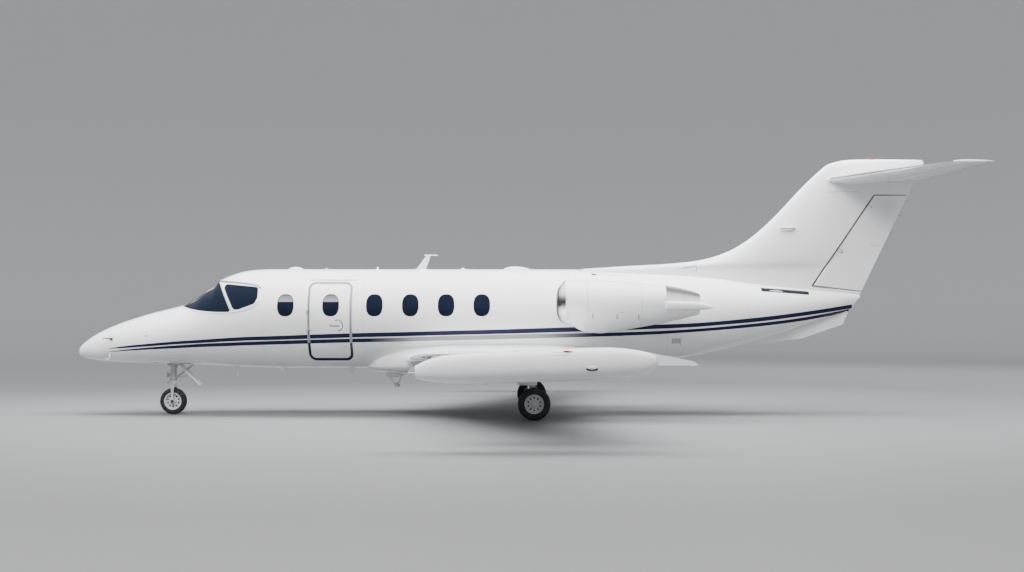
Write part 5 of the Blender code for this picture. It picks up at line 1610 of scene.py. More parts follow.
def build_door_details():
    def strip(name, path, width, material, body, lift):
        path_strip(name, path, width, -1, material, body, lift)

    strip("door_gutter", between((-3.302, 2.262), (-2.51, 2.262), 24), 0.007, "strip", "airframe", 0.006)
    arc = [(-2.815 + 0.084 * math.cos(a), 1.51 + 0.092 * math.sin(a))
           for a in spread_count(math.radians(122), math.radians(-80), 16)]
    strip("door_handle_arc", arc, 0.013, "seal", "entry_door", 0.002)
    recess = between((-2.952, 1.508), (-2.785, 1.503), 8)
    strip("door_handle_recess", recess, 0.03, "strip", "entry_door", 0.0015)
    lever = between((-2.94, 1.508), (-2.798, 1.504), 8)
    strip("door_handle_lever", lever, 0.013, "polished", "entry_door", 0.008)
    place = skin_place(-1)
    disc("door_latch_dot", -2.796, 1.424, 0.012, place, 0.004, "red_paint", "entry_door")
    for k, z in enumerate((1.16, 2.06), 1):
        disc(f"door_lock_{k}", -2.7, z, 0.013, place, 0.0025, "strip", "entry_door")


def build_roof_parts():
    z0 = top_z(-3.0)

    def roof(x):
        return top_z(x) - 0.004

    def shoulder(x):
        return top_z(x, 0.338)

    for name, start, end, wide, tall, material, front in (
            ("dome_front", -3.749, -3.495, 0.055, 0.044, "white_plain", 0.5),
            ("light_small", -3.125, -3.073, 0.018, 0.026, "clear_lamp", 0.5),
            ("dome_mid", -0.83, -0.734, 0.03, 0.026, "white_plain", 0.5),
            ("teardrop", -0.1, 0.37, 0.085, 0.052, "white_plain", 0.42)):
        swell("roof_" + name, start, end, 0.0, roof, wide, tall, material, front)
    # Near-black vent bumps: painted shade of the vent openings.
    for side, sign in SIDES.items():
        swell("shoulder_vent_painted_shade_" + side, 1.375, 1.475, sign * 0.338, shoulder, 0.02, 0.018, "dark")
    blade("roof_blade_small", (-2.276, -2.222, z0 - 0.01), (-2.236, -2.214, z0 + 0.04), 0.012, 0.0)
    antenna = blade("blade_antenna_skin", (-1.592, -1.425, 2.44), (-1.41, -1.335, 2.69), 0.02, 0.0,
                    node="blade_antenna")
    rings = [[(x, y, z) for x, y in rectangle(front, -half, back, half)] for front, back, half, z in (
        (-1.443, -1.219, 0.006, 2.69), (-1.448, -1.215, 0.009, 2.697), (-1.443, -1.219, 0.005, 2.705))]
    bar = loft("blade_antenna_cap", rings, "white_plain")
    bar.parent = antenna
    foot = ((-1.64, 0.004, 0.004), (-1.6, 0.018, 0.01), (-1.5, 0.026, 0.012), (-1.42, 0.018, 0.01),
            (-1.37, 0.004, 0.004))
    pod("blade_antenna_foot", [(x, 0.0, z0 - 0.004, wide, tall) for x, wide, tall in foot], "white_plain")


def build_belly_parts():
    for name, x, low in (("front", -4.66, 0.629), ("middle", -2.705, 0.646)):
        top = bottom_z(x + 0.05) + 0.01
        blade("belly_blade_" + name, (x - 0.05, x + 0.09, top), (x + 0.03, x + 0.075, low), 0.016, 0.0)
    swell("belly_light_housing", -2.1, -1.78, 0.0, 0.672, 0.055, 0.052, "white_plain", 0.4)
    rods("belly_light_arm", [((-2.055, 0, 0.65), (-1.945, 0, 0.52), 0.012),
                             ((-1.905, 0, 0.468), (-1.905, 0, 0.506), 0.054, 0.05),
                             ((-1.905, 0, 0.506), (-1.895, 0, 0.54), 0.04, 0.014),
                             ((-1.89, 0, 0.52), (-1.835, 0, 0.65), 0.01)], "white_plain", points=28)
    lens = ((-1.905, 0, 0.4675), (-1.905, 0, 0.46), 0.046, 0.038)
    rods("belly_light_glass", [lens], "clear_lamp", points=32)
    swell("belly_beacon", -0.52, -0.4, 0.0, 0.668, 0.035, 0.035, "red", 0.5)
    z = bottom_z(-3.8, 0.16)
    for side, sign in SIDES.items():
        blade("transponder_blade_" + side, (-3.86, -3.78, z + 0.01), (-3.84, -3.79, z - 0.055), 0.008,
              sign * 0.16)
    rods("belly_drain_mast", [((-0.95, 0.18, 0.7), (-0.93, 0.18, 0.6), 0.01, 0.006)], "steel", points=12)


def build_nose_parts(side, sign):
    out = Vector((0.0, sign, 0.05)).normalized()
    place = skin_place(sign)

    def probe(name, x, z, steps, radii, material):
        root = on_skin(x, z, sign)
        path = [root + out * away + Vector((along, 0, up)) for away, along, up in steps]
        tube_along(name + side, path, radii, material, around=12)

    pitot = ((-0.004, 0, 0), (0.03, 0, 0), (0.042, -0.018, 0), (0.046, -0.075, 0.004), (0.048, -0.145, 0.001))
    probe("pitot_probe_", -6.662, 1.282, pitot, [0.014, 0.012, 0.011, 0.009, 0.006], "seal")
    patch("probe_plate_" + side, superellipse((-6.662, 1.282), 0.034, 0.024, 2.2, 24), place, 0.003, "strip")
    static = ((-0.004, 0, 0), (0.018, 0.004, -0.035), (0.026, 0.002, -0.088), (0.028, -0.016, -0.103),
              (0.028, -0.068, -0.1))
    probe("static_probe_", -6.69, 1.045, static, [0.012, 0.01, 0.01, 0.01, 0.007], "strip_white")
    vane = on_skin(-6.05, 1.34, sign)
    rods("angle_vane_" + side, [(vane - out * 0.004, vane + out * 0.03, 0.006)], "strip", points=12)
    y = (vane + out * 0.024).y
    box("angle_vane_fin_" + side, (vane.x - 0.006, y - 0.002, vane.z - 0.005),
        (vane.x + 0.05, y + 0.002, vane.z + 0.005), "strip", bevel=0.001)


def build_nose_bay():
    bay = [(-6.4, 1.255), (-5.93, 1.3), (-5.93, 1.585), (-6.3, 1.5), (-6.4, 1.44)]
    skin_rail("nose_bay_joint_right", resample(rounded(bay, 0.04), 0.03), -0.0015, 0.0015, 1, 0.0007, "joint")
    for k, x in enumerate((-6.3, -6.14, -5.99), 1):
        z = 1.308 + 0.096 * (x + 6.4)
        latch = superellipse((x, z), 0.016, 0.008, 3.0, 20)
        patch(f"nose_bay_latch_right_{k}", latch, skin_place(1), 0.0018, "strip")


def build_side_marks(side, sign):
    # Painted shade: the ram-air slot is a near-black strip and its ramp a grey one, for the shade inside the
    # inlet.
    for name, start, end, count, width, material, lift, tapered in (
            ("ram_air_slot_painted_shade_", (4.23, 2.106), (5.056, 2.046), 20, 0.052, "dark", 0.0016, False),
            ("ram_air_lip_", (4.224, 2.139), (5.046, 2.079), 20, 0.01, "white_plain", 0.012, False),
            ("ram_air_ramp_painted_shade_", (4.37, 2.094), (4.6, 2.078), 10, 0.022, "grey", 0.003, True),
            ("tail_hatch_joint_", (2.842, 1.18), (2.842, 1.33), 6, 0.006, "joint", 0.0012, False)):
        path_strip(name + side, between(start, end, count), width, sign, material, lift=lift, tapered=tapered)
    # The vent is a dark grey patch under white slats: painted shade between the slats.
    outline = resample(rounded(rectangle(2.69, 1.215, 2.83, 1.292), 0.012), 0.02)
    patch("tail_vent_" + side, outline, skin_place(sign), 0.001, "ledge")
    for k in range(4):
        z = 1.229 + 0.0165 * k
        slat = between((2.7, z), (2.82, z), 4)
        path_strip(f"tail_vent_slat_{side}_{k + 1}", slat, 0.006, sign, "white_plain", lift=0.005)
    drain = [(1.775, 1.334), (1.8, 1.33), (1.86, 1.325), (1.905, 1.322)]
    path_strip("drain_fairing_" + side, drain, 0.018, sign, "white_plain", lift=0.02)


def build_exit_joint():
    outline = resample(rounded(rectangle(-0.72, 1.5, -0.18, 2.22), 0.08), 0.03)
    skin_rail("exit_panel_joint", outline, -0.0015, 0.0015, 1, 0.0007, "joint")


def fin_side(x, z):
    """Half the fin's thickness at a place."""
    _, lead, thickness = Curve(FIN).at(z)
    share = min(1.0, max(0.0, (x - lead) / (fin_trail_x(z) - lead)))
    return thickness * half_thickness(share)


def build_fin_details(side, sign):
    for name, path, step, width, material, body, lift in (
            ("fin_panel_line_", [(2.905, 2.468), (3.16, 2.515), (3.16, 2.41)],
             0.03, 0.01, "joint", "airframe", 0.001),
            ("fin_top_line_", [(5.37, 3.76), (5.64, 3.77), (5.91, 3.772)],
             0.05, 0.004, "joint", "airframe", 0.001),
            ("fin_light_shelf_", [(4.583, 3.158), (4.836, 3.158)],
             0.026, 0.01, "white_plain", "airframe", 0.045),
            # Painted shadow: near-black strips along the rudder's gap and round its notch.
            ("rudder_gap_shadow_", [(5.97, 2.085), (5.27, 2.154), (5.132, 2.166), (6.182, 3.72), (6.74, 3.72)],
             0.06, 0.01, "seal", "airframe", 0.0012),
            ("rudder_notch_shadow_",
             [(5.606, 2.794), (5.626, 2.788), (5.656, 2.756), (5.642, 2.744), (5.586, 2.756)],
             0.02, 0.009, "seal", "rudder", 0.0015),
            ("rudder_tick_", [(6.122, 3.53), (6.15, 3.508)], 0.012, 0.009, "joint", "rudder", 0.0015),
            ("rudder_trim_line_", [(6.132, 2.872), (6.286, 2.866)], 0.026, 0.005, "joint", "rudder", 0.0015)):
        rows = strip_rows(along_path(path, step), width, (-1, 1))
        sheet(name + side, rows, lambda x, z, h: (x, sign * (fin_side(x, z) + h), z), lift, material, body)

    def place(x):
        return (x, sign * (fin_side(x, 3.125) + 0.004), 3.128)

    table = bulge(place, 4.583, 0.253, 12, lambda t: max(0.05, math.sin(math.pi * t) ** 0.5), 0.03, 0.03)
    pod("fin_light_" + side, table, "white_plain")
    glass = [(x, y + sign * 0.008, z + 0.001, wide * 0.8, tall * 0.8) for x, y, z, wide, tall in table[4:9]]
    pod("fin_light_glass_" + side, glass, "clear_lamp")


def build_tail_lamps():
    base = ((-0.055, 0.004, 0.003), (-0.045, 0.03, 0.008), (0.0, 0.038, 0.01), (0.045, 0.03, 0.008),
            (0.056, 0.004, 0.003))
    pod("beacon_base", [(BEACON_X + x, 0.0, 4.322, wide, tall) for x, wide, tall in base], "strip")
    rings = []
    for z, r in ((4.328, 0.036), (4.338, 0.036), (4.346, 0.03), (4.351, 0.018), (4.353, 0.004)):
        rings.append([(BEACON_X + 1.15 * a, b, z) for a, b in superellipse((0.0, 0.0), r, r * 0.8, 2.0, 28)])
    loft("beacon_glass", rings, "red")
    swell("tail_light", 6.93, 7.085, 0.0, 4.215, 0.02, 0.026, "clear_lamp", 0.6)
    end = fuselage_ring(FUSELAGE[-1][0])
    x, z = (sum(p[i] for p in end) / len(end) for i in (0, 2))
    tip = ((-0.1, 0.105, 0.03), (0.0, 0.105, 0.034), (0.06, 0.104, 0.03), (0.1, 0.102, 0.018),
           (0.11, 0.101, 0.005))
    pod("tail_tip", [(x + along, 0.0, z + up, half, half) for along, up, half in tip], "white_plain")


def wing_share(ends, x, y):
    """The share of the chord at a place of the wing's plan."""
    lead = wing_point(ends, y, 0.0, 0).x
    return min(1.0, max(0.0, (x - lead) / (wing_point(ends, y, 1.0, 0).x - lead)))


def wing_strip(name, ends, path, width, sign, face, material, body="airframe", lift=0.0008):
    """A strip on a wing's upper or lower face along points of span and chord share."""
    places = []
    for y, f in path:
        point = wing_point(ends, y, f, face)
        places.append(Vector((point.x, sign * point.y, point.z)))
    rows = []
    for i, place in enumerate(places):
        ahead = places[min(i + 1, len(places) - 1)] - places[max(i - 1, 0)]
        across = Vector((-ahead.y, ahead.x, 0.0)).normalized() * width / 2
        rows.append([tuple((place + across * way).xy) for way in (-1, 1)])

    def on_wing(x, y, height):
        return (x, y, wing_point(ends, abs(y), wing_share(ends, x, abs(y)), face).z + face * height)

    sheet(name, rows, on_wing, lift, material, body)


def lead_band(name, ends, y_range, reach, sign, material):
    """Bare metal round a leading edge, a hair proud of the paint."""
    rings = []
    for y in spread(*y_range, 0.25):
        steps = [reach * (k / 9) ** 2 for k in range(10)]
        outer = [wing_point(ends, y, f, 1) for f in steps[::-1]]
        outer += [wing_point(ends, y, f, -1) for f in steps[1:]]
        centre = wing_point(ends, y, reach * 1.6, 0)
        ring = []
        for p in outer:
            away = p - centre
            away.y = 0
            ring.append(p + away.normalized() * 0.0016)
        ring += [p - (p - centre).normalized() * 0.006 for p in outer[::-1]]
        rings.append([(p.x, sign * p.y, p.z) for p in ring])
    loft(name, rings, material, smooth=50.0)


def wicks(name, places, reach, drop, body):
    """Thin rods that trail behind a surface from points on its rear edge."""
    parts = [((x - 0.01, y, z), (x + reach, y, z - drop), 0.0026, 0.0012) for x, y, z in places]
    rods(name, parts, "seal", body, 8)


def build_wing_details(side, sign):
    lead_band("wing_lead_metal_" + side, WING, (0.96, 5.9), 0.05, sign, "polished")
    lead_band("tail_lead_metal_" + side, TAIL, (0.14, 2.46), 0.045, sign, "polished")
    for face, label in ((1, "top"), (-1, "low")):
        spars = [[(y, f) for y in spread(1.0, 5.85, 0.3)] for f in (0.17, 0.55)]
        ribs = [[(y, f) for f in spread(0.06, 0.74, 0.08)] for y in (1.9, 2.75, 3.63, 4.6, 5.4)]
        for kind, paths in (("spar", spars), ("rib", ribs)):
            for k, path in enumerate(paths, 1):
                wing_strip(f"wing_{kind}_joint_{label}_{side}_{k}", WING, path, 0.003, sign, face, "joint")
    walk = [(y, 0.4) for y in spread(0.98, 1.42, 0.11)]
    wing_strip("wing_walk_" + side, WING, walk, 0.62, sign, 1, "walk", lift=0.001)
    for k, (y, f) in enumerate(((2.3, 0.35), (5.0, 0.4)), 1):
        x = wing_point(WING, y, f, 1).x
        rings = []
        for r, lift in ((0.045, -0.003), (0.045, 0.002), (0.038, 0.003), (0.036, 0.0015), (0.004, 0.0015)):
            spots = [(x + r * c, y + r * s) for c, s in (circle(q, 28) for q in range(28))]
            rings.append([(a, sign * b, wing_point(WING, b, wing_share(WING, a, b), 1).z + lift)
                          for a, b in spots])
        loft(f"fuel_cap_{side}_{k}", rings, "strip")
    for label, ends, ys in (("aileron", WING, (4.4, 4.95, 5.45)), ("elevator", TAIL, (1.6, 2.0, 2.35))):
        points = [wing_point(ends, y, 1.0, 0) for y in ys]
        wicks(f"{label}_wicks_{side}", [(p.x, sign * p.y, p.z) for p in points], 0.085, 0.003,
              f"{label}_{side}")
    path = [(y, 0.9) for y in spread(4.55, 5.05, 0.1)]
    wing_strip("aileron_tab_joint_" + side, WING, path, 0.004, sign, 1, "joint", "aileron_" + side)
    table = ((6.792, 0.003, 0.003), (6.83, 0.012, 0.016), (6.9, 0.016, 0.021), (7.06, 0.016, 0.022),
             (7.2, 0.013, 0.016), (7.3, 0.008, 0.009), (7.376, 0.002, 0.002))
    tip = wing_point(TAIL, TAILPLANE_TIP["y"], 0.5, 0)
    rows = [(x, sign * (tip.y + 0.004), tip.z, wide, tall) for x, wide, tall in table]
    pod("tailplane_tip_" + side, rows, "white_plain")


def build_rudder_wicks():
    levels = [RUDDER_HEEL_Z + (RUDDER_HINGE[1][1] - RUDDER_HEEL_Z) * t for t in (0.62, 0.8, 0.95)]
    wicks("rudder_wicks", [(fin_trail_x(z), 0.0, z) for z in levels], 0.08, 0.006, "rudder")


def build_tank_details(side, sign):
    def place(x, z, lift):
        """A point on the outer side of the tip tank."""
        _, middle, radius = Curve(TANK).at(x)
        rise = z - middle
        out = math.sqrt(max(1e-6, radius ** 2 - rise ** 2))
        scale = (radius + lift) / radius
        return (x, sign * (TANK_Y + out * scale), middle + rise * scale)

    def lamp(t):
        return max(0.08, arch((0.6 - t) / 0.6) if t < 0.6 else 1.0)

    def tail(t):
        return max(0.08, math.cos(math.pi / 2 * t))

    def tongue(t):
        return max(0.05, math.sin(math.pi * t) ** 0.6)

    for name, x, z, lift, length, count, shape, wide, tall, material in (
            ("nav_light_", 0.684, 1.226, 0.002, 0.072, 12, lamp, 0.016, 0.017, NAV_COLOUR[side]),
            ("nav_light_tail_", 0.7565, 1.226, 0.001, 0.056, 8, tail, 0.016, 0.017, "strip"),
            ("scoop_tongue_", 0.97, 1.033, 0.0, 0.146, 12, tongue, 0.014, 0.025, "white_plain")):
        pod(name + side, bulge(lambda a: place(a, z, lift), x, length, count, shape, wide, tall), material)
    panel = resample(rounded(rectangle(0.56, 1.182, 0.742, 1.222), 0.008), 0.02)
    patch("nav_panel_joint_" + side, panel, place, 0.0006, "joint")
    patch("nav_panel_" + side, offset_outline(panel, 0.004), place, 0.0012, "white_plain")
    # The scoop's mouth is a near-black patch: painted shade of its opening.
    patch("scoop_mouth_painted_shade_" + side, superellipse((1.043, 1.016), 0.076, 0.025, 2.2, 40), place, 0.0014, "dark")
    lip = [place(1.043 + 0.08 * math.cos(a), 1.018 + 0.033 * math.sin(a), 0.002)
           for a in spread_count(math.radians(205), math.radians(335), 14)]
    tube_along("scoop_lip_" + side, lip, [0.0035] * len(lip), "polished", around=8)
    y = sign * TANK_Y
    drain = ((-0.284, y, 0.835), (-0.284, y, 0.81), 0.007, 0.004)
    rods("tank_drain_" + side, [drain], "dark_metal", points=12)
    rods("tank_cap_" + side, [((0.1, y, 1.234), (0.1, y, 1.2405), 0.04, 0.036)], "strip", points=32)


def build_cowl_details(side, sign):
    y = sign * ENGINE_Y

    def place(x, z, lift):
        """A point on the outer side of the cowl."""
        _, top, bottom, half_width = Curve(NACELLE).at(x)
        rise = (z - (top + bottom) / 2) / ((top - bottom) / 2)
        return (x, y + sign * (half_width * arch(rise) + lift), z)

    for k, (x, z) in enumerate(((1.32, 1.672), (1.701, 1.655), (2.048, 1.652)), 1):
        for label, top, wide, lift, material in (("base", 0.04, 0.01, 0.003, "strip"),
                                                 ("hook", 0.002, 0.007, 0.007, "dark_metal")):
            outline = [(x - wide, z - 0.038), (x + wide, z - 0.038), (x + wide * 0.8, z + top),
                       (x - wide * 0.8, z + top)]
            patch(f"cowl_latch_{label}_{side}_{k}", rounded(outline, 0.004, 3), place, lift, material,
                  depth=0.003)
    for k, (x, z) in enumerate(((1.776, 1.724), (1.257, 1.771)), 1):
        disc(f"cowl_stud_{side}_{k}", x, z, 0.009, place, 0.002, "dark_metal", depth=0.003, points=16)
    angle = math.radians(80)
    seam = []
    for x in spread(2.5, 2.99, 0.06):
        r = nozzle_radius(x, NOZZLE_OUTER) + 0.001
        seam.append((x, y + sign * r * math.cos(angle), NOZZLE_Z + r * math.sin(angle)))
    tube_along("nozzle_seam_" + side, seam, [0.005] * len(seam), "dark_metal", around=8)


# Cabin

SEATS = ((-2.08, -1), (-0.86, 1), (0.22, 1))
SEAT_Y = 0.405
SEAT_FOOT_Y = 0.22
PILOT_SEAT_X = -4.35
PAD_VOXEL = 0.009
PAD_CAP = 0.012
PAD_FRAMES = 20
CHANNEL = 0.007


def puff(obj, pinned):
    """Blows a pad up from inside as cloth, held where pinned says, and keeps the result."""
    rest = [vertex.co.copy() for vertex in obj.data.vertices]
    held = obj.vertex_groups.new(name="held")
    held.add([i for i, co in enumerate(rest) if pinned(co)], 1.0, "REPLACE")
    cloth = obj.modifiers.new("cloth", "CLOTH")
    for key, value in (("quality", 5), ("mass", 0.25), ("vertex_group_mass", "held"), ("use_pressure", True),
                       ("uniform_pressure_force", 4.0), ("tension_stiffness", 18.0),
                       ("compression_stiffness", 18.0), ("bending_stiffness", 0.6)):
        setattr(cloth.settings, key, value)
    cloth.settings.effector_weights.gravity = 0.0
    cloth.point_cache.frame_start = 1
    cloth.point_cache.frame_end = PAD_FRAMES
    for frame_number in range(1, PAD_FRAMES + 1):
        bpy.context.scene.frame_set(frame_number)
    graph = bpy.context.evaluated_depsgraph_get()
    blown = [vertex.co.copy() for vertex in obj.evaluated_get(graph).data.vertices]
    obj.modifiers.clear()
    obj.vertex_groups.clear()
    bpy.context.scene.frame_set(1)
    for vertex, start, end in zip(obj.data.vertices, rest, blown):
        move = end - start
        if move.length > PAD_CAP:
            move *= PAD_CAP / move.length
        vertex.co = start + move


def pad_form(name, size, bevel, pinned, seams):
    """One pad about its own centre: remeshed, puffed up, then drawn in along its seams."""
    high = [a / 2 for a in size]
    pad = box(name, [-a for a in high], high, "leather", None, bevel, 4)
    step = pad.modifiers.new("voxels", "REMESH")
    step.mode = "VOXEL"
    step.voxel_size = PAD_VOXEL
    freeze(pad)
    puff(pad, pinned)
    for vertex in pad.data.vertices:
        vertex.co += seams(vertex.co)
    shade(pad, 60.0)
    return pad


def groove(distance, width=CHANNEL):
    """The depth of a sewn channel beside its middle, from 0 to 1."""
    return math.exp(-(distance / width) ** 2)


def seat_seams(co):
    """Three sewn channels across the seat and one line along each side, on its upper face."""
    if co.z < 0.01:
        return Vector()
    depths = [groove(abs(co.y) - 0.122)]
    if abs(co.y) < 0.12:
        depths += [groove(co.x - x) for x in (-0.085, 0.0, 0.085)]
    return Vector((0.0, 0.0, -0.007 * max(depths)))


def back_seams(co):
    """Channels across the backrest and the line below its headrest, on its front face."""
    if co.x > -0.005:
        return Vector()
    depths = [1.3 * groove(co.z - 0.115, 0.009)]
    if abs(co.y) < 0.115:
        depths += [groove(co.z - z) for z in (-0.14, -0.05, 0.04)]
    if co.z < 0.115:
        depths.append(groove(abs(co.y) - 0.118))
    return Vector((0.007 * max(depths), 0.0, 0.0))


def copy_pad(source, name, matrix, material):
    mesh = source.data.copy()
    mesh.transform(matrix)
    mesh.materials.clear()
    mesh.materials.append(LOOKS[material].made)
    made = link_object(name, mesh)
    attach(made, "airframe")
    return made


def build_seat(name, x, sign, facing, forms, cover):
    """A seat whose front points to the nose where facing is 1 and to the tail where it is -1."""
    turn = Matrix.Identity(4) if facing == 1 else Matrix.Rotation(math.pi, 4, "Z")
    base = Matrix.Translation((x, sign * SEAT_Y, FLOOR_Z)) @ turn
    lean = Matrix.Rotation(math.radians(18.5), 4, "Y")
    rear = base @ Matrix.Translation((0.252, 0, 0.65)) @ lean
    cushion = copy_pad(forms["seat"], name + "_cushion", base @ Matrix.Translation((-0.055, 0, 0.375)), cover)
    copy_pad(forms["back"], name + "_back", base @ Matrix.Translation((0.182, 0, 0.665)) @ lean, cover)

    def part(label, corner, opposite, material, bevel, segments=2, matrix=base):
        box(f"{name}_{label}", corner, opposite, material, "airframe", bevel, segments, None, matrix)

    part("back_shell", (-0.02, -0.17, -0.235), (0.004, 0.17, 0.245), "trim", 0.01, 2, rear)
    part("pan", (-0.235, -0.195, 0.262), (0.14, 0.195, 0.318), cover, 0.018)
    inner = sign * facing * (SEAT_FOOT_Y - SEAT_Y)
    part("stand", (-0.14, inner, 0.016), (0.13, inner + 0.18 * sign * facing, 0.27), "trim", 0.02)
    for k, way in enumerate((-1, 1), 1):
        part(f"arm_{k}", (-0.215, way * 0.172, 0.5), (0.15, way * 0.214, 0.56), cover, 0.016, 3)
        part(f"arm_panel_{k}", (-0.175, way * 0.18, 0.3), (0.12, way * 0.206, 0.505), "wood", 0.008)
    rings = []
    for across in spread_count(-0.17, 0.17, 14):
        rise = 0.452 + 0.004 * math.cos(math.pi * across / 0.34)
        rings.append([(0.045 + a, across, rise + b) for a, b in rectangle(-0.024, 0.0, 0.024, 0.003)])
    loft(name + "_belt", rings, "seal", matrix=base)
    part("buckle", (0.015, -0.035, 0.455), (0.078, 0.035, 0.47), "polished", 0.004)
    return cushion


def build_seats():
    forms = {"seat": pad_form("seat_form", (0.35, 0.305, 0.105), 0.035, lambda co: co.z < -0.03, seat_seams),
             "back": pad_form("back_form", (0.105, 0.3, 0.47), 0.036, lambda co: co.x > 0.03, back_seams)}
    for node, rows, cover in (
            ("cabin_seats", [(f"cabin_seat_{side}_{k}", x, sign, facing)
                             for k, (x, facing) in enumerate(SEATS, 1) for side, sign in SIDES.items()],
             "leather"),
            ("pilot_seats", [("pilot_seat_" + side, PILOT_SEAT_X, sign, 1) for side, sign in SIDES.items()],
             "dark_leather")):
        made = [build_seat(*row, forms, cover) for row in rows]
        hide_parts(node)
    for form in forms.values():
        bpy.data.objects.remove(form)
    z = FLOOR_Z + 0.006
    rails = [((start, y, z), (end, y, z), 0.008) for y in (-0.385, -0.235, 0.235, 0.385)
             for start, end in ((-2.3, 0.45), (-4.56, -4.14))]
    rods("seat_rails", rails, "steel", points=8)


def section_panel(name, low, high, material, *openings):
    """A bulkhead that fills the cabin's section between two stations."""
    panel = loft(name, [fuselage_ring(x, WALL + 0.004, 64) for x in (low, high)], material)
    below = box("cut_floor", (low - 0.1, -1.0, 0.5), (high + 0.1, 1.0, FLOOR_Z + 0.001), material, None)
    carve(panel, below, *openings)


def build_bulkheads():
    repaint(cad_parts["cabin_floor"], "carpet")
    aisle = resample(rounded(rectangle(-0.215, 0.6, 0.215, 2.13), 0.06), 0.1)
    section_panel("cockpit_divider", -3.885, -3.855, "wood", cutter(prism(aisle, -4.0, -3.7, "X"), "wood"))
    section_panel("aft_bulkhead", 0.93, 0.96, "wood")
    box("aft_door_panel", (0.92, -0.26, FLOOR_Z + 0.02), (0.931, 0.26, 2.12), "lining", bevel=0.004)
    rods("aft_door_knob", [((0.9, 0.19, 1.62), (0.922, 0.19, 1.62), 0.014, 0.01)], "polished")
    box("door_inner_handle", (-2.74, -0.758, 1.5), (-2.715, -0.712, 1.62), "polished", "entry_door", 0.006)
    box("door_inner_pocket", (-3.12, -0.764, 1.47), (-2.82, -0.726, 1.6), "trim", "entry_door", 0.008)


def build_cabin_side(side, sign):
    def wall(x, z, height):
        return (x, sign * (side_y(x, z, WALL) - height), z)

    profile = ((0.64, 1.395), (0.632, 1.425), (0.636, 1.452), (0.652, 1.463), (0.8, 1.463), (0.8, 1.395))
    ledge = [[(x, sign * min(a, side_y(x, b, WALL) - 0.002), b) for a, b in profile]
             for x in spread(-2.5, 0.92, 0.3)]
    loft("side_ledge_" + side, ledge, "lining")
    section = rectangle(0.634, 1.4625, 0.738, 1.47)
    cap = [[(x, sign * a, b) for a, b in section] for x in spread(-2.49, 0.91, 0.3)]
    loft("side_ledge_top_" + side, cap, "wood")
    box("fold_table_" + side, (-1.7, sign * 0.24, 1.668), (-1.26, sign * 0.64, 1.686), "wood", bevel=0.006)
    arms = [((x, sign * 0.6, 1.462), (x, sign * 0.56, 1.668), 0.011) for x in (-1.5, -1.44)]
    rods("fold_table_arm_" + side, arms, "polished", points=12)
    windows = [FORWARD_WINDOW_X, *AFT_WINDOWS_X] + ([DOOR_WINDOW_X] if side == "right" else [])
    for k, x in enumerate(sorted(windows), 1):
        rail(f"window_reveal_{side}_{k}", window_outline(x), 0.002, 0.036, wall, 0.01, 0.5, 0.004, "shade")
    section = ((-0.02, -0.026), (0.02, -0.034), (0.026, 0.006), (-0.026, 0.014))
    lamp = [[(x, sign * (0.3 + a), top_z(x, 0.3, WALL) + b) for a, b in section]
            for x in spread(-3.7, 0.9, 0.3)]
    loft("ceiling_lamp_" + side, lamp, "cove_lamp")


def build_galley():
    for name, low, high, material in (
            ("galley_cabinet", (-3.42, 0.44, FLOOR_Z + 0.02), (-2.6, 0.76, 1.6), "wood"),
            ("galley_top", (-3.43, 0.43, 1.598), (-2.59, 0.78, 1.622), "lining")):
        inside = fuselage_loft("keep_inside", -3.5, -2.5, 0.1, WALL + 0.006, material)
        carve(box(name, low, high, material, bevel=0.006), within=inside)
    for k, x in enumerate((-3.2, -2.82), 1):
        box(f"galley_drawer_{k}", (x - 0.165, 0.432, 1.4), (x + 0.165, 0.441, 1.56), "wood", bevel=0.003)
        rods(f"galley_handle_{k}", [((x - 0.05, 0.428, 1.48), (x + 0.05, 0.428, 1.48), 0.005)], "polished",
             points=10)


def build_instruments():
    box("instrument_board", (-5.105, -0.475, 1.375), (-4.99, 0.475, 1.672), "trim", bevel=0.014,
        node="instrument_panel")
    section = ((-5.175, 1.664), (-5.178, 1.686), (-5.16, 1.698), (-4.96, 1.698), (-4.936, 1.69),
               (-4.932, 1.676), (-4.945, 1.672), (-5.0, 1.668))
    hood = [[(x, y, z + 0.008 * (1 - (y / 0.435) ** 2)) for x, z in section]
            for y in spread(-0.435, 0.435, 0.0725)]
    loft("glareshield", hood, "trim")
    for k, y in enumerate((-0.325, -0.11, 0.11, 0.325), 1):
        box(f"display_bezel_{k}", (-4.992, y - 0.095, 1.455), (-4.984, y + 0.095, 1.63), "seal", bevel=0.004)
        box(f"display_{k}", (-4.985, y - 0.083, 1.468), (-4.982, y + 0.083, 1.618), "screen", bevel=0.001)
    knobs = [((-4.992, y, 1.415), (-4.974, y, 1.415), 0.008, 0.006) for y in spread_count(-0.42, 0.42, 13)]
    rods("panel_knobs", knobs, "grey", points=12)
    box("centre_pedestal", (-5.08, -0.1, FLOOR_Z + 0.01), (-4.735, 0.1, 1.385), "trim", bevel=0.015)
    for k, y in enumerate((-0.035, 0.035), 1):
        lever = [((-4.9, y, 1.38), (-4.87, y, 1.49), 0.006),
                 ((-4.87, y - 0.022, 1.492), (-4.87, y + 0.022, 1.492), 0.014)]
        rods(f"throttle_{k}", lever, "seal", points=14)
    half = ((-0.13, 0.085, 0.013), (-0.14, 0.04, 0.015), (-0.125, -0.005, 0.014), (-0.075, -0.022, 0.012))
    grip = [*half, (0.0, -0.012, 0.018), *((-a, b, r) for a, b, r in half[::-1])]
    for side, sign in SIDES.items():
        y = sign * 0.335
        rods("yoke_column_" + side, [((-4.995, y, 1.43), (-4.835, y, 1.45), 0.014)], "steel", points=16)
        path = [(-4.84, y + a, 1.452 + b) for a, b, _ in grip]
        tube_along("yoke_grip_" + side, path, [r for _, _, r in grip], "seal", around=12)


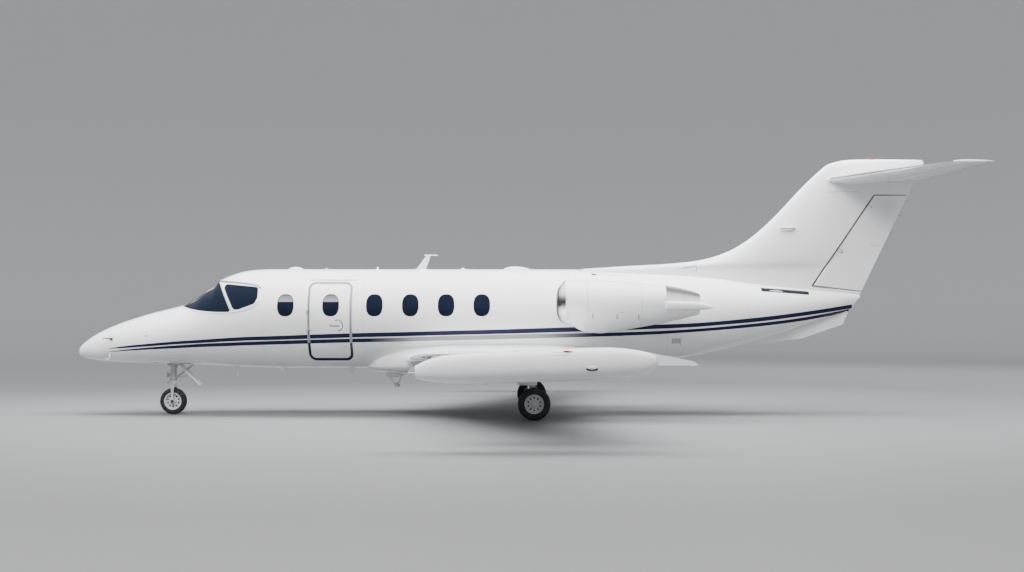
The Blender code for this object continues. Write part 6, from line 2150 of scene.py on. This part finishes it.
# Stage

STAGE_POINTS = 96
STAGE_Z = -0.0008
STAGE_FLAT = 46.0
STAGE_COVE = 14.0
NEAR_GREY = (0.18, 0.182, 0.187)
FAR_GREY = (0.64, 0.645, 0.655)


def build_stage():
    profile = [(0.02, STAGE_Z), (STAGE_FLAT, STAGE_Z)]
    for angle in spread_count(0.0, math.pi / 2, 12)[1:]:
        profile.append((STAGE_FLAT + STAGE_COVE * math.sin(angle), STAGE_COVE * (1 - math.cos(angle))))
    profile.append((STAGE_FLAT + STAGE_COVE, 26.0))
    turns = [circle(k, STAGE_POINTS) for k in range(STAGE_POINTS)]
    bm = add_loft(bmesh.new(), [[(r * c, r * s, z) for c, s in turns] for r, z in profile], caps=False)
    bm.faces.new(list(bm.verts)[:STAGE_POINTS])
    mesh = bpy.data.meshes.new("studio_floor")
    bm.to_mesh(mesh)
    bm.free()
    look = Look("studio_floor", NEAR_GREY, 0.6)
    middle = look.add("VectorMath", {0: look.place()}, "Value", operation="LENGTH")
    wide = look.remap(middle, 12.0, 44.0, 0.0, 1.0)
    base = look.mix(look.cloud(2.5, 6.0, 0.3, 0.7, 0.0, 0.1), NEAR_GREY, tint(NEAR_GREY, 0.8))
    look.put(Base_Color=look.mix(wide, base, FAR_GREY))
    mesh.materials.append(look.made)
    mesh.shade_smooth()
    link_object("studio_floor", mesh)


def area_light(name, place, target, size, power, colour=(1, 1, 1)):
    """A lamp that lights the paint without showing as a square in the glazing."""
    light = bpy.data.lights.new(name, "AREA")
    light.shape = "RECTANGLE"
    light.size, light.size_y = size
    light.energy = power
    light.color = colour
    obj = link_object(name, light)
    obj.location = place
    obj.rotation_euler = (Vector(target) - Vector(place)).to_track_quat("-Z", "Y").to_euler()
    obj.visible_camera = False
    obj.visible_glossy = False


def build_lights():
    world = bpy.data.worlds.new("studio")
    bpy.context.scene.world = world
    world.use_nodes = True
    sky = Nodes(world.node_tree, "Background")
    height = sky.axis("Z", sky.add("TexCoord", output="Generated"))
    colour = sky.mix(sky.remap(height, 0.05, 0.75, 0.0, 1.0), (0.62, 0.66, 0.72), (1.0, 1.0, 1.0))
    sky.put(Color=colour, Strength=0.6)
    area_light("overhead", (0.0, -0.6, 9.6), (0.0, -0.6, 1.5), (24.0, 5.0), 6200.0)
    area_light("key", (-6.0, -19.0, 21.0), (-1.0, 0.0, 1.5), (22.0, 10.0), 9500.0, (1.0, 0.99, 0.97))
    area_light("rim", (10.0, 17.0, 15.0), (1.0, 0.0, 2.0), (16.0, 8.0), 3000.0, (0.96, 0.98, 1.0))


def build_camera():
    camera = bpy.data.cameras.new("camera")
    obj = link_object("camera", camera)
    obj.location = (0.046, -23.5, 1.7)
    obj.rotation_euler = (math.radians(90.0), 0.0, 0.0)
    camera.lens = 48.6
    camera.sensor_width = 36.0
    camera.shift_y = 0.0273
    camera.clip_end = 200.0
    bpy.context.scene.camera = obj


for build in (build_camera, build_stage, build_lights, build_fuselage, build_door, build_belly, build_fin,
              build_tailplane, build_nose_gear, build_centre_post, build_door_details, build_roof_parts,
              build_belly_parts, build_nose_bay, build_exit_joint, build_tail_lamps, build_rudder_wicks,
              build_seats, build_bulkheads, build_galley, build_instruments):
    build()
for build in (build_stripes, build_glass, build_wings, build_tanks, build_engine, build_main_gear,
              build_cockpit_frame, build_nose_parts, build_side_marks, build_fin_details, build_wing_details,
              build_tank_details, build_cowl_details, build_cabin_side):
    for side, sign in SIDES.items():
        build(side, sign)
